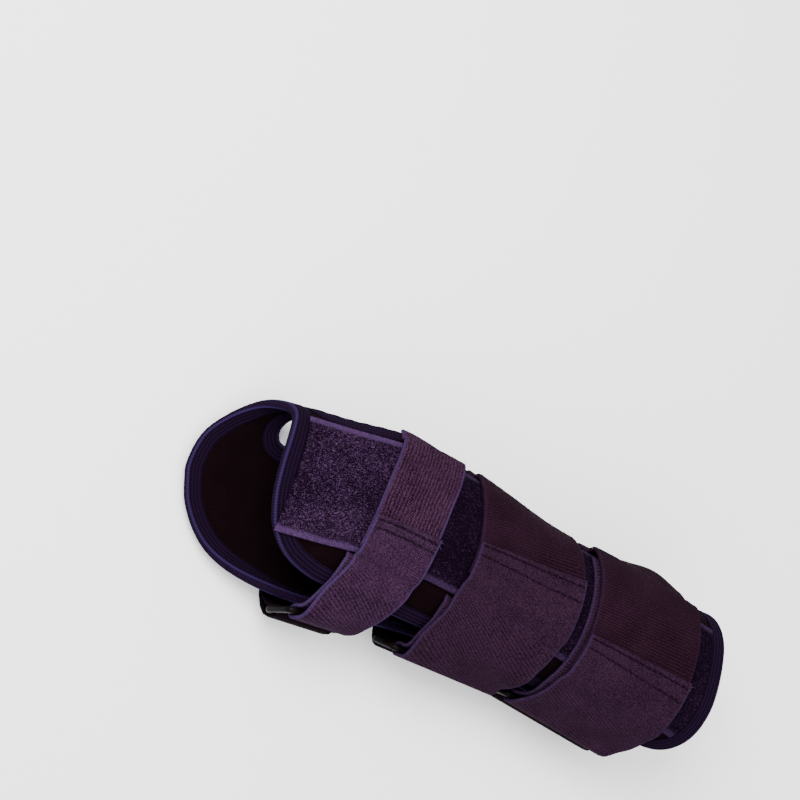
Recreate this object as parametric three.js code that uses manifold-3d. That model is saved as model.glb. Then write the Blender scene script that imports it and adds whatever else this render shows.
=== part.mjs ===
// Wrist and forearm splint for a right hand, lying on its back: a padded wrap with a thumb
// opening, edge bindings, a wide loop tape and three straps turned back through rings.
// Millimetres. X runs towards the elbow, Y towards the thumb, Z towards the palm side.
import * as THREE from 'three';
import { mergeVertices } from 'three/addons/utils/BufferGeometryUtils.js';
import Module from 'manifold-3d';

// The space for the hand and forearm
const splintLength = 226;
const wristWidth = 56;
const wristHeight = 39;
const roundnessAbove = 2.25;
const roundnessBelow = 2.7;
const belowShare = 0.46;

// Padded wall, its edge binding and the gap kept between neighbouring pieces
const wallThickness = 3.2;
const clearance = 0.4;
const bindingWidth = 5.5;
const bindingThickness = 0.9;
const bindingPlay = 0.5;

// Loop tape on the palm side
const tapeWidthShare = 0.786; // of the wrist width
const tapeThickness = 1.6;

// Straps, placed from the wrist strap outwards
const wideStrapShare = 0.217; // of the splint length
const palmStrapShare = 0.122; // of the splint length
const wristStrapPlace = 0.066; // middle of the strap, share of the splint length
const palmStrapGapShare = 0.069; // of the splint length
const forearmStrapGapShare = 0.032; // of the splint length
const elasticThickness = 1.4;
const tabThickness = 1.8;
const underShift = 2;
const layerFall = 3; // run in which a layer comes down beside the loop tape
const tabFall = 5; // run in which an elastic comes down from its tab

// Rings and the webbing that holds them
const ringThickness = 2.6;
const ringBarWidth = 3.6;
const ringWidth = 17;
const ringEndBar = 2.8;
const ringSide = 0.9; // play between strap edge and ring
const ringCorner = 3.5;
const ringBevel = 0.7;
const holderThickness = 1;
const ringHeight = 5.4; // of the palm side of a ring, over the open slit
const holderReach = 6;

const wideStrapWidth = splintLength * wideStrapShare;
const palmStrapWidth = splintLength * palmStrapShare;
const tapeWidth = wristWidth * tapeWidthShare;

// Heights above the inner face of the wall
const onWall = wallThickness + clearance;
const onTape = onWall + tapeThickness + clearance;
const onBinding = wallThickness + bindingPlay + bindingThickness + 2 * clearance;
const layerStep = elasticThickness + clearance;

// Section of the inner space at stations along the splint: shift and half are shares of the
// wrist width, under and tall of the wrist height, along of the length from its middle
const sections = [
  { along: -0.5, shift: -0.093, half: 0.532, under: 0.069, tall: 0.641 },
  { along: -0.42, shift: -0.068, half: 0.568, under: 0.018, tall: 0.721 },
  { along: -0.31, shift: -0.009, half: 0.598, under: 0.023, tall: 0.826 },
  { along: -0.199, shift: 0.062, half: 0.616, under: 0.049, tall: 0.905 },
  { along: -0.088, shift: 0.08, half: 0.561, under: 0.064, tall: 0.974 },
  { along: 0, shift: 0.07, half: 0.51, under: 0.077, tall: 1 },
  { along: 0.111, shift: 0.042, half: 0.469, under: 0.077, tall: 1.051 },
  { along: 0.265, shift: 0.027, half: 0.482, under: 0.038, tall: 1.154 },
  { along: 0.42, shift: 0.005, half: 0.513, under: 0, tall: 1.269 },
  { along: 0.5, shift: -0.009, half: 0.536, under: 0.049, tall: 1.269 },
];

// Edge of the wrap as a closed line: turn is the share of the girth from the middle of the
// palm side towards the thumb side. The four corners part it into its edges.
const outline = [
  { along: -0.365, turn: -0.081, corner: true },
  { along: -0.332, turn: -0.124 },
  { along: -0.276, turn: -0.154 },
  { along: -0.208, turn: -0.165 },
  { along: -0.093, turn: -0.179 },
  { along: 0.062, turn: -0.194 },
  { along: 0.217, turn: -0.2 },
  { along: 0.35, turn: -0.202 },
  { along: 0.407, turn: -0.192 },
  { along: 0.462, turn: -0.168, corner: true },
  { along: 0.486, turn: -0.12 },
  { along: 0.495, turn: -0.035 },
  { along: 0.489, turn: 0.078 },
  { along: 0.489, turn: 0.19 },
  { along: 0.491, turn: 0.325 },
  { along: 0.493, turn: 0.5 },
  { along: 0.491, turn: 0.591 },
  { along: 0.48, turn: 0.663 },
  { along: 0.454, turn: 0.7, corner: true },
  { along: 0.403, turn: 0.708 },
  { along: 0.261, turn: 0.698 },
  { along: 0.084, turn: 0.696 },
  { along: -0.093, turn: 0.724 },
  { along: -0.23, turn: 0.734 },
  { along: -0.341, turn: 0.705 },
  { along: -0.42, turn: 0.662 },
  { along: -0.471, turn: 0.591, corner: true },
  { along: -0.493, turn: 0.526 },
  { along: -0.5, turn: 0.493 },
  { along: -0.496, turn: 0.405 },
  { along: -0.473, turn: 0.345 },
  { along: -0.44, turn: 0.291 },
  { along: -0.412, turn: 0.248 },
  { along: -0.398, turn: 0.205 },
  { along: -0.398, turn: 0.147 },
  { along: -0.398, turn: 0.077 },
  { along: -0.392, turn: 0.013 },
  { along: -0.381, turn: -0.038 },
];

// Edge of the thumb opening, closed
const thumbEdge = [
  { along: -0.345, turn: 0.238 },
  { along: -0.367, turn: 0.282 },
  { along: -0.381, turn: 0.335 },
  { along: -0.369, turn: 0.37 },
  { along: -0.338, turn: 0.384 },
  { along: -0.29, turn: 0.385 },
  { along: -0.236, turn: 0.375 },
  { along: -0.186, turn: 0.36 },
  { along: -0.146, turn: 0.334 },
  { along: -0.13, turn: 0.29 },
  { along: -0.145, turn: 0.246 },
  { along: -0.185, turn: 0.226 },
  { along: -0.243, turn: 0.22 },
  { along: -0.301, turn: 0.224 },
];

// Little-finger edge of the loop tape, low as a share of the wrist width from the palm middle
const tapeEdge = [
  { along: -0.5, low: -0.25 },
  { along: 0.15, low: -0.255 },
  { along: 0.3, low: -0.31 },
  { along: 0.46, low: -0.385 },
];

// Drift of each strap's middle line along the splint, share of the strap's width.
// Joint, tabEnd and underEnd are shares of the wrist width from the middle of the palm side.
const straps = [
  {
    name: 'palm',
    width: palmStrapWidth,
    joint: 0.027,
    overlap: 0.232,
    tabEnd: 0.652,
    tabLift: 0,
    lengthwise: [
      { turn: -0.3, drift: -0.45 },
      { turn: -0.233, drift: -0.31 },
      { turn: -0.165, drift: -0.16 },
      { turn: -0.1, drift: -0.04 },
      { turn: -0.011, drift: 0 },
      { turn: 0.089, drift: 0.03 },
      { turn: 0.212, drift: 0.18 },
    ],
  },
  {
    name: 'wrist',
    width: wideStrapWidth,
    joint: 0.177,
    overlap: 0.266,
    tabEnd: 0.75,
    tabLift: 0,
    lengthwise: [
      { turn: -0.3, drift: -0.125 },
      { turn: -0.255, drift: -0.105 },
      { turn: -0.195, drift: -0.07 },
      { turn: -0.13, drift: -0.03 },
      { turn: -0.059, drift: 0 },
      { turn: 0.059, drift: -0.005 },
      { turn: 0.178, drift: -0.07 },
      { turn: 0.26, drift: -0.11 },
    ],
  },
  {
    name: 'forearm',
    width: wideStrapWidth,
    joint: -0.033,
    overlap: 0.266,
    tabEnd: 0.74,
    tabLift: 2,
    underEnd: 0.465,
    lengthwise: [
      { turn: -0.3, drift: -0.065 },
      { turn: -0.241, drift: -0.06 },
      { turn: -0.191, drift: -0.05 },
      { turn: -0.112, drift: -0.02 },
      { turn: -0.028, drift: 0 },
      { turn: 0.056, drift: -0.012 },
      { turn: 0.157, drift: -0.04 },
      { turn: 0.237, drift: -0.04 },
    ],
  },
];

// Facet counts
const cellsAlong = 25;
const cellsAround = 30;
const holePoints = 44;
const tapeCellsAlong = 18;
const tapeCellsAcross = 10;
const strapCellsAcross = 4;
const strapStep = 4.5;
const hairpinCells = 6;
const sectionSteps = 240;

const looks = {
  wrap: { color: 0x21141f, roughness: 0.9, metalness: 0 },
  binding: { color: 0x33203a, roughness: 0.85, metalness: 0 },
  pile: { color: 0x2b1b33, roughness: 1, metalness: 0 },
  elastic: { color: 0x3a2541, roughness: 0.85, metalness: 0 },
  tab: { color: 0x342039, roughness: 0.8, metalness: 0 },
  webbing: { color: 0x231626, roughness: 0.85, metalness: 0 },
  plastic: { color: 0x120d0f, roughness: 0.25, metalness: 0 },
};

function signedPower(value, power) {
  return Math.sign(value) * Math.abs(value) ** power;
}

// Smooth curve through the named columns of a table, straight beyond both ends
function lookup(rows, key, column, value) {
  const slopeBetween = (a, b) => (b[column] - a[column]) / (b[key] - a[key]);
  const slopeAt = (i) => {
    if (i === 0) return slopeBetween(rows[0], rows[1]);
    if (i === rows.length - 1) return slopeBetween(rows[i - 1], rows[i]);
    return (slopeBetween(rows[i - 1], rows[i]) + slopeBetween(rows[i], rows[i + 1])) / 2;
  };
  if (value <= rows[0][key]) {
    return rows[0][column] + slopeAt(0) * (value - rows[0][key]);
  }
  const last = rows.length - 1;
  if (value >= rows[last][key]) {
    return rows[last][column] + slopeAt(last) * (value - rows[last][key]);
  }
  let i = 0;
  while (rows[i + 1][key] < value) i += 1;
  const span = rows[i + 1][key] - rows[i][key];
  const t = (value - rows[i][key]) / span;
  const a = rows[i][column];
  const b = rows[i + 1][column];
  const u = 1 - t;
  const bend = slopeAt(i) * span * t * u * u - slopeAt(i + 1) * span * t * t * u;
  return a * u * u * (1 + 2 * t) + b * t * t * (3 - 2 * t) + bend;
}

// Straight change from one height to another between two places
function ramp(value, start, end, from, to) {
  const t = THREE.MathUtils.clamp((value - start) / (end - start), 0, 1);
  return from + (to - from) * t;
}

function sectionOf(x) {
  const along = x / splintLength;
  const middle = lookup(sections, 'along', 'shift', along) * wristWidth;
  const half = lookup(sections, 'along', 'half', along) * wristWidth;
  const tall = lookup(sections, 'along', 'tall', along) * wristHeight;
  const below = tall * belowShare;
  const above = tall - below;
  const widest = lookup(sections, 'along', 'under', along) * wristHeight + below;
  const points = [];
  let length = 0;
  for (let i = 0; i <= sectionSteps; i += 1) {
    const angle = (i / sectionSteps) * 2 * Math.PI;
    const up = Math.cos(angle);
    const side = Math.sin(angle);
    const power = up >= 0 ? roundnessAbove : roundnessBelow;
    const reach = up >= 0 ? above : below;
    const y = middle + half * signedPower(side, 2 / power);
    const z = widest + reach * signedPower(up, 2 / power);
    const ny = signedPower(side, 2 - 2 / power) / half;
    const nz = signedPower(up, 2 - 2 / power) / reach;
    const size = Math.hypot(ny, nz);
    if (i > 0) length += Math.hypot(y - points[i - 1].y, z - points[i - 1].z);
    points.push({ y, z, ny: ny / size, nz: nz / size, length });
  }
  return { points, girth: length };
}

const sectionStore = new Map();

function sectionAt(x) {
  const key = x.toFixed(3);
  if (!sectionStore.has(key)) sectionStore.set(key, sectionOf(x));
  return sectionStore.get(key);
}

function girthAt(x) {
  return sectionAt(x).girth;
}

// Point and outward direction at a distance round the section from the palm middle
function formFrame(x, around) {
  const { points, girth } = sectionAt(x);
  const length = ((around % girth) + girth) % girth;
  let low = 0;
  let high = points.length - 1;
  while (high - low > 1) {
    const half = Math.floor((low + high) / 2);
    if (points[half].length <= length) low = half;
    else high = half;
  }
  const a = points[low];
  const b = points[high];
  const t = (length - a.length) / Math.max(b.length - a.length, 1e-9);
  const point = new THREE.Vector3(x, a.y + (b.y - a.y) * t, a.z + (b.z - a.z) * t);
  const outward = new THREE.Vector3(0, a.ny + (b.ny - a.ny) * t, a.nz + (b.nz - a.nz) * t);
  return { point, outward: outward.normalize() };
}

function formPoint(x, around, height) {
  const { point, outward } = formFrame(x, around);
  return point.addScaledVector(outward, height);
}

// Solids from grids of points

class SolidBuilder {
  constructor() {
    this.positions = [];
    this.triangles = [];
  }

  add(point) {
    this.positions.push(point.x, point.y, point.z);
    return this.positions.length / 3 - 1;
  }

  quad(a, b, c, d) {
    const at = (i) => new THREE.Vector3().fromArray(this.positions, i * 3);
    const first = at(a).distanceTo(at(c));
    const second = at(b).distanceTo(at(d));
    if (first <= second) this.triangles.push(a, b, c, a, c, d);
    else this.triangles.push(a, b, d, b, c, d);
  }

  // Closed geometry with its faces turned outwards
  geometry() {
    const at = (i) => new THREE.Vector3().fromArray(this.positions, i * 3);
    let volume = 0;
    for (let i = 0; i < this.triangles.length; i += 3) {
      const [a, b, c] = this.triangles.slice(i, i + 3).map(at);
      volume += a.dot(b.cross(c));
    }
    if (volume < 0) this.triangles.reverse();
    const geometry = new THREE.BufferGeometry();
    geometry.setAttribute('position', new THREE.Float32BufferAttribute(this.positions, 3));
    geometry.setIndex(this.triangles);
    return geometry;
  }
}

// Closed slab between two equal grids of points
function slab(upper, lower) {
  const solid = new SolidBuilder();
  const top = upper.map((row) => row.map((point) => solid.add(point)));
  const bottom = lower.map((row) => row.map((point) => solid.add(point)));
  const rows = top.length;
  const columns = top[0].length;
  for (let i = 0; i < rows - 1; i += 1) {
    for (let j = 0; j < columns - 1; j += 1) {
      solid.quad(top[i][j], top[i + 1][j], top[i + 1][j + 1], top[i][j + 1]);
      solid.quad(bottom[i][j + 1], bottom[i + 1][j + 1], bottom[i + 1][j], bottom[i][j]);
    }
  }
  for (let i = 0; i < rows - 1; i += 1) {
    const last = columns - 1;
    solid.quad(top[i + 1][0], top[i][0], bottom[i][0], bottom[i + 1][0]);
    solid.quad(top[i][last], top[i + 1][last], bottom[i + 1][last], bottom[i][last]);
  }
  for (let j = 0; j < columns - 1; j += 1) {
    const last = rows - 1;
    solid.quad(top[0][j], top[0][j + 1], bottom[0][j + 1], bottom[0][j]);
    solid.quad(top[last][j + 1], top[last][j], bottom[last][j], bottom[last][j + 1]);
  }
  return solid.geometry();
}

// Band of even thickness about a grid of middle points
function band(grid, thickness) {
  const rows = grid.length;
  const columns = grid[0].length;
  const upper = [];
  const lower = [];
  for (let i = 0; i < rows; i += 1) {
    upper.push([]);
    lower.push([]);
    for (let j = 0; j < columns; j += 1) {
      const before = grid[Math.max(i - 1, 0)][j];
      const after = grid[Math.min(i + 1, rows - 1)][j];
      const left = grid[i][Math.max(j - 1, 0)];
      const right = grid[i][Math.min(j + 1, columns - 1)];
      const lengthwise = after.clone().sub(before);
      const crosswise = right.clone().sub(left);
      const normal = lengthwise.cross(crosswise).normalize();
      upper[i].push(grid[i][j].clone().addScaledVector(normal, thickness / 2));
      lower[i].push(grid[i][j].clone().addScaledVector(normal, -thickness / 2));
    }
  }
  return slab(upper, lower);
}

// Edge lines of the wrap

const meanGirth = girthAt(0);

function closedLine(rows) {
  const points = rows.map(
    ({ along, turn }) => new THREE.Vector3(along * splintLength, turn * meanGirth, 0),
  );
  return new THREE.CatmullRomCurve3(points, true, 'centripetal');
}

// Evenly spaced places on a stretch of a closed line, with both ends
function stretch(curve, from, to, count) {
  const fine = 400;
  const places = [];
  let length = 0;
  for (let i = 0; i <= fine; i += 1) {
    const share = from + ((to - from) * i) / fine;
    const point = curve.getPoint(((share % 1) + 1) % 1);
    const place = { x: point.x, turn: point.y / meanGirth };
    if (i > 0) {
      const last = places[i - 1];
      length += Math.hypot(place.x - last.x, (place.turn - last.turn) * girthAt(place.x));
    }
    places.push({ ...place, length });
  }
  const result = [];
  let k = 0;
  for (let i = 0; i <= count; i += 1) {
    const target = (length * i) / count;
    while (k < fine - 1 && places[k + 1].length < target) k += 1;
    const a = places[k];
    const b = places[k + 1];
    const t = THREE.MathUtils.clamp((target - a.length) / (b.length - a.length), 0, 1);
    result.push({ x: a.x + (b.x - a.x) * t, turn: a.turn + (b.turn - a.turn) * t });
  }
  return result;
}

const outlineCurve = closedLine(outline);
const corners = outline.map((row, i) => (row.corner ? i / outline.length : -1));
const [frontCorner, elbowCorner, backElbowCorner, backFrontCorner] = corners.filter(
  (share) => share >= 0,
);
const palmEdge = stretch(outlineCurve, frontCorner, elbowCorner, cellsAlong);
const elbowEdge = stretch(outlineCurve, elbowCorner, backElbowCorner, cellsAround);
const backEdgeTurned = stretch(outlineCurve, backElbowCorner, backFrontCorner, cellsAlong);
const fingerEdgeTurned = stretch(outlineCurve, backFrontCorner, 1 + frontCorner, cellsAround);
const outlinePlaces = [
  ...palmEdge.slice(0, -1),
  ...elbowEdge.slice(0, -1),
  ...backEdgeTurned.slice(0, -1),
  ...fingerEdgeTurned.slice(0, -1),
];
const backEdge = [...backEdgeTurned].reverse();
const fingerEdge = [...fingerEdgeTurned].reverse();

// Distance round the section to an edge line at a place along the splint
function edgeAround(edge, x, turns) {
  let best = edge[0];
  for (let i = 0; i < edge.length - 1; i += 1) {
    const a = edge[i];
    const b = edge[i + 1];
    if (a.x <= x && x <= b.x) {
      const t = (x - a.x) / Math.max(b.x - a.x, 1e-9);
      best = { x, turn: a.turn + (b.turn - a.turn) * t };
    }
  }
  return (best.turn - turns) * girthAt(x);
}

// Direction into the material, which lies to the left of each closed line
function intoMaterial(places) {
  return places.map((place, i) => {
    const before = places[(i + places.length - 1) % places.length];
    const after = places[(i + 1) % places.length];
    const dx = after.x - before.x;
    const dAround = (after.turn - before.turn) * girthAt(place.x);
    const size = Math.hypot(dx, dAround);
    return { dx: -dAround / size, dAround: dx / size };
  });
}

function placePoint(place, inward, depth, height) {
  const girth = girthAt(place.x);
  const x = place.x + inward.dx * depth;
  const turn = place.turn + (inward.dAround * depth) / girth;
  return formPoint(x, turn * girthAt(x), height);
}

// Folded tape swept along a closed edge line of the wall
function bindingAlong(places) {
  const inwards = intoMaterial(places);
  const outer = bindingPlay + bindingThickness;
  const top = wallThickness + outer;
  const drop = wallThickness + bindingPlay - bindingThickness * 0.2;
  const profile = [
    [bindingWidth, wallThickness + bindingPlay],
    [bindingWidth, top],
    [0, top],
    [-outer, drop],
    [-outer, wallThickness - drop],
    [0, -outer],
    [bindingWidth, -outer],
    [bindingWidth, -bindingPlay],
    [-bindingPlay, -bindingPlay],
    [-bindingPlay, wallThickness + bindingPlay],
  ];
  const solid = new SolidBuilder();
  const rings = places.map((place, i) =>
    profile.map(([depth, height]) => solid.add(placePoint(place, inwards[i], depth, height))),
  );
  for (let i = 0; i < rings.length; i += 1) {
    const a = rings[i];
    const b = rings[(i + 1) % rings.length];
    for (let j = 0; j < profile.length; j += 1) {
      const k = (j + 1) % profile.length;
      solid.quad(a[j], b[j], b[k], a[k]);
    }
  }
  return solid.geometry();
}

// Wall of the wrap: a patch blended from its four edges, then cut by the thumb opening

function wallGeometry() {
  const blend = (i, j) => {
    const u = i / cellsAlong;
    const v = j / cellsAround;
    const mix = (key) => {
      const sides = (1 - v) * palmEdge[i][key] + v * backEdge[i][key];
      const ends = (1 - u) * fingerEdge[j][key] + u * elbowEdge[j][key];
      const near = (1 - v) * fingerEdge[0][key] + v * fingerEdge[cellsAround][key];
      const far = (1 - v) * elbowEdge[0][key] + v * elbowEdge[cellsAround][key];
      return sides + ends - (1 - u) * near - u * far;
    };
    return { x: mix('x'), turn: mix('turn') };
  };
  const upper = [];
  const lower = [];
  for (let i = 0; i <= cellsAlong; i += 1) {
    const row = Array.from({ length: cellsAround + 1 }, (unused, j) => blend(i, j));
    upper.push(row.map(({ x, turn }) => formPoint(x, turn * girthAt(x), wallThickness)));
    lower.push(row.map(({ x, turn }) => formPoint(x, turn * girthAt(x), 0)));
  }
  return slab(upper, lower);
}

const thumbCurve = closedLine(thumbEdge);
const thumbPlaces = stretch(thumbCurve, 0, 1, holePoints).slice(0, -1);

// Plug that fills the thumb opening and stands out on both sides of the wall
function thumbPlug() {
  const reach = wallThickness;
  const rings = 4;
  const middle = {
    x: thumbPlaces.reduce((sum, place) => sum + place.x, 0) / thumbPlaces.length,
    turn: thumbPlaces.reduce((sum, place) => sum + place.turn, 0) / thumbPlaces.length,
  };
  const solid = new SolidBuilder();
  const faces = [wallThickness + reach, -reach].map((height) => {
    const point = ({ x, turn }) => solid.add(formPoint(x, turn * girthAt(x), height));
    const loops = [];
    for (let k = 1; k <= rings; k += 1) {
      const share = k / rings;
      loops.push(
        thumbPlaces.map((place) =>
          point({
            x: middle.x + (place.x - middle.x) * share,
            turn: middle.turn + (place.turn - middle.turn) * share,
          }),
        ),
      );
    }
    return { centre: point(middle), loops };
  });
  const count = thumbPlaces.length;
  faces.forEach(({ centre, loops }, face) => {
    for (let i = 0; i < count; i += 1) {
      const next = (i + 1) % count;
      const fan = [centre, loops[0][i], loops[0][next]];
      solid.triangles.push(...(face === 0 ? fan : fan.reverse()));
      for (let k = 0; k < rings - 1; k += 1) {
        const quad = [loops[k][i], loops[k + 1][i], loops[k + 1][next], loops[k][next]];
        solid.quad(...(face === 0 ? quad : quad.reverse()));
      }
    }
  });
  const outer = faces[0].loops[rings - 1];
  const inner = faces[1].loops[rings - 1];
  for (let i = 0; i < count; i += 1) {
    const next = (i + 1) % count;
    solid.quad(outer[next], outer[i], inner[i], inner[next]);
  }
  return solid.geometry();
}

const wasm = await Module();
wasm.setup();

function toManifold(geometry) {
  const bare = geometry.clone();
  bare.deleteAttribute('normal');
  bare.deleteAttribute('uv');
  const merged = mergeVertices(bare, 1e-5);
  return new wasm.Manifold(
    new wasm.Mesh({
      numProp: 3,
      vertProperties: new Float32Array(merged.attributes.position.array),
      triVerts: new Uint32Array(merged.index.array),
    }),
  );
}

function fromManifold(manifold) {
  const mesh = manifold.getMesh();
  const geometry = new THREE.BufferGeometry();
  geometry.setAttribute('position', new THREE.Float32BufferAttribute(mesh.vertProperties, 3));
  geometry.setIndex([...mesh.triVerts]);
  return geometry;
}

// Loop tape between the bindings of the finger edge and the elbow edge

function tapeGeometry() {
  const inset = bindingWidth + 2 * clearance;
  const inwards = intoMaterial(outlinePlaces);
  const line = outlinePlaces.map((place, i) => ({
    x: place.x + inwards[i].dx * inset,
    around: place.turn * girthAt(place.x) + inwards[i].dAround * inset,
  }));
  const crossing = (around, elbowSide) => {
    let found = null;
    line.forEach((a, i) => {
      const b = line[(i + 1) % line.length];
      if ((a.around - around) * (b.around - around) > 0) return;
      const t = (around - a.around) / (b.around - a.around);
      const x = a.x + (b.x - a.x) * t;
      if (elbowSide ? x < 0 : x > 0) return;
      if (found === null || (elbowSide ? x < found : x > found)) found = x;
    });
    return found;
  };
  const grid = [];
  for (let i = 0; i <= tapeCellsAlong; i += 1) {
    const row = [];
    for (let j = 0; j <= tapeCellsAcross; j += 1) {
      const across = (j / tapeCellsAcross) * tapeWidth;
      const lowAt = (x) => lookup(tapeEdge, 'along', 'low', x / splintLength) * wristWidth;
      const start = crossing(lowAt(-0.37 * splintLength) + across, false);
      const end = crossing(lowAt(0.46 * splintLength) + across, true);
      const x = start + ((end - start) * i) / tapeCellsAlong;
      row.push(formPoint(x, lowAt(x) + across, onWall + tapeThickness / 2));
    }
    grid.push(row);
  }
  return band(grid, tapeThickness);
}

// Straps

const wristMiddle = wristStrapPlace * splintLength;
const palmStep = (wideStrapWidth + palmStrapWidth) / 2 + palmStrapGapShare * splintLength;
const middles = {
  palm: wristMiddle - palmStep,
  wrist: wristMiddle,
  forearm: wristMiddle + wideStrapWidth + forearmStrapGapShare * splintLength,
};

// Little-finger edge of the loop tape under a strap
function tapeLow(strap) {
  const along = middles[strap.name] / splintLength;
  return lookup(tapeEdge, 'along', 'low', along) * wristWidth;
}

// Middle line of a strap and the direction across it
function strapLine(strap, around) {
  const middle = middles[strap.name];
  const turn = around / girthAt(middle);
  const nearby = 0.01;
  const drift = (share) => lookup(strap.lengthwise, 'turn', 'drift', share) * strap.width;
  const slope = (drift(turn + nearby) - drift(turn - nearby)) / (2 * nearby * girthAt(middle));
  const size = Math.hypot(1, slope);
  return { x: middle + drift(turn), dx: 1 / size, dAround: -slope / size };
}

function strapRow(strap, around, height, shift = 0) {
  const line = strapLine(strap, around);
  const row = [];
  for (let j = 0; j <= strapCellsAcross; j += 1) {
    const across = (j / strapCellsAcross - 0.5) * strap.width + shift;
    const x = line.x + line.dx * across;
    row.push(formPoint(x, around + line.dAround * across, height));
  }
  return row;
}

// Places through the given ones in turn, no further apart than the strap step
function stations(...stops) {
  const result = [stops[0]];
  for (let k = 1; k < stops.length; k += 1) {
    const from = stops[k - 1];
    const to = stops[k];
    const count = Math.max(1, Math.ceil(Math.abs(to - from) / strapStep));
    for (let i = 1; i <= count; i += 1) result.push(from + ((to - from) * i) / count);
  }
  return result;
}

// How far the ends of a strap row lie before and behind its middle
function slantAt(strap, around) {
  return Math.abs(strapLine(strap, around).dAround) * (strap.width / 2);
}

// Ring across the slit: its back bar lies over the binding of the back flap with the webbing
// between them, and its palm bar over the open slit
function ringFrame(strap) {
  const rough = edgeAround(backEdge, middles[strap.name], 1);
  const around = edgeAround(backEdge, strapLine(strap, rough).x, 1);
  const line = strapLine(strap, around);
  const length = strap.width + 2 * (ringSide + ringEndBar);
  const onWebbing = onBinding + holderThickness + clearance;
  const place = (share, back, height) => {
    const across = (share * length) / 2;
    const x = line.x + line.dx * across + line.dAround * back;
    return formPoint(x, around + line.dAround * across - line.dx * back, height);
  };
  const backFoot = ringBarWidth;
  const palmFoot = backFoot - ringWidth * 0.8;
  const middle = (backFoot + palmFoot) / 2;
  const bar = place(1, middle, 0).sub(place(-1, middle, 0)).normalize();
  const backPoint = place(0, backFoot, onWebbing);
  const towardsBack = backPoint.clone().sub(place(0, palmFoot, ringHeight));
  towardsBack.addScaledVector(bar, -towardsBack.dot(bar)).normalize();
  const normal = bar.clone().cross(towardsBack).normalize();
  if (normal.dot(formFrame(line.x, around).outward) < 0) normal.negate();
  const lifts = [-1, -0.5, 0, 0.5, 1].flatMap((share) => [
    ...[1, 0.5, 0].map((back) => place(share, back * backFoot, onWebbing)),
    place(share, palmFoot, ringHeight),
  ]);
  const lift = Math.max(...lifts.map((point) => point.sub(backPoint).dot(normal)));
  const centre = backPoint
    .clone()
    .addScaledVector(towardsBack, -ringWidth / 2)
    .addScaledVector(normal, lift + ringThickness / 2);
  const at = (alongBar, back, up) =>
    centre
      .clone()
      .addScaledVector(bar, alongBar)
      .addScaledVector(towardsBack, back)
      .addScaledVector(normal, up);
  return { at, bar, towardsBack, normal, centre, length, around, backFoot, line };
}

function roundedPath(path, length, width, radius) {
  const x = length / 2;
  const y = width / 2;
  path.moveTo(-x + radius, -y);
  path.lineTo(x - radius, -y);
  path.quadraticCurveTo(x, -y, x, -y + radius);
  path.lineTo(x, y - radius);
  path.quadraticCurveTo(x, y, x - radius, y);
  path.lineTo(-x + radius, y);
  path.quadraticCurveTo(-x, y, -x, y - radius);
  path.lineTo(-x, -y + radius);
  path.quadraticCurveTo(-x, -y, -x + radius, -y);
  return path;
}

function ringGeometry(strap) {
  const frame = ringFrame(strap);
  const shape = roundedPath(new THREE.Shape(), frame.length, ringWidth, ringCorner);
  const innerLength = frame.length - 2 * ringEndBar;
  const innerWidth = ringWidth - 2 * ringBarWidth;
  shape.holes.push(roundedPath(new THREE.Path(), innerLength, innerWidth, ringSide));
  const geometry = new THREE.ExtrudeGeometry(shape, {
    depth: ringThickness - 2 * ringBevel,
    bevelEnabled: true,
    bevelThickness: ringBevel,
    bevelSize: ringBevel,
    bevelOffset: -ringBevel,
    bevelSegments: 1,
    curveSegments: 3,
  });
  geometry.translate(0, 0, ringBevel - ringThickness / 2);
  const third = frame.bar.clone().cross(frame.towardsBack);
  const basis = new THREE.Matrix4().makeBasis(frame.bar, frame.towardsBack, third);
  geometry.applyMatrix4(basis.setPosition(frame.centre));
  geometry.deleteAttribute('normal');
  geometry.deleteAttribute('uv');
  return mergeVertices(geometry, 1e-4);
}

// Rows that turn round one bar of the ring, side -1 for the palm flap and 1 for the back flap
function hairpin(frame, side, width, thickness) {
  const radius = ringThickness / 2 + clearance + thickness / 2;
  const edge = side * (ringWidth / 2 + clearance);
  const turnCentre = side * (ringWidth / 2 - ringBarWidth + ringBevel);
  const row = (back, up) => {
    const points = [];
    for (let j = 0; j <= strapCellsAcross; j += 1) {
      points.push(frame.at((j / strapCellsAcross - 0.5) * width, back, up));
    }
    return points;
  };
  const rows = [row(edge, radius)];
  for (let i = 0; i <= hairpinCells; i += 1) {
    const angle = (i / hairpinCells) * Math.PI;
    rows.push(row(turnCentre - side * radius * Math.sin(angle), radius * Math.cos(angle)));
  }
  rows.push(row(edge, -radius));
  return rows;
}

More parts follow.
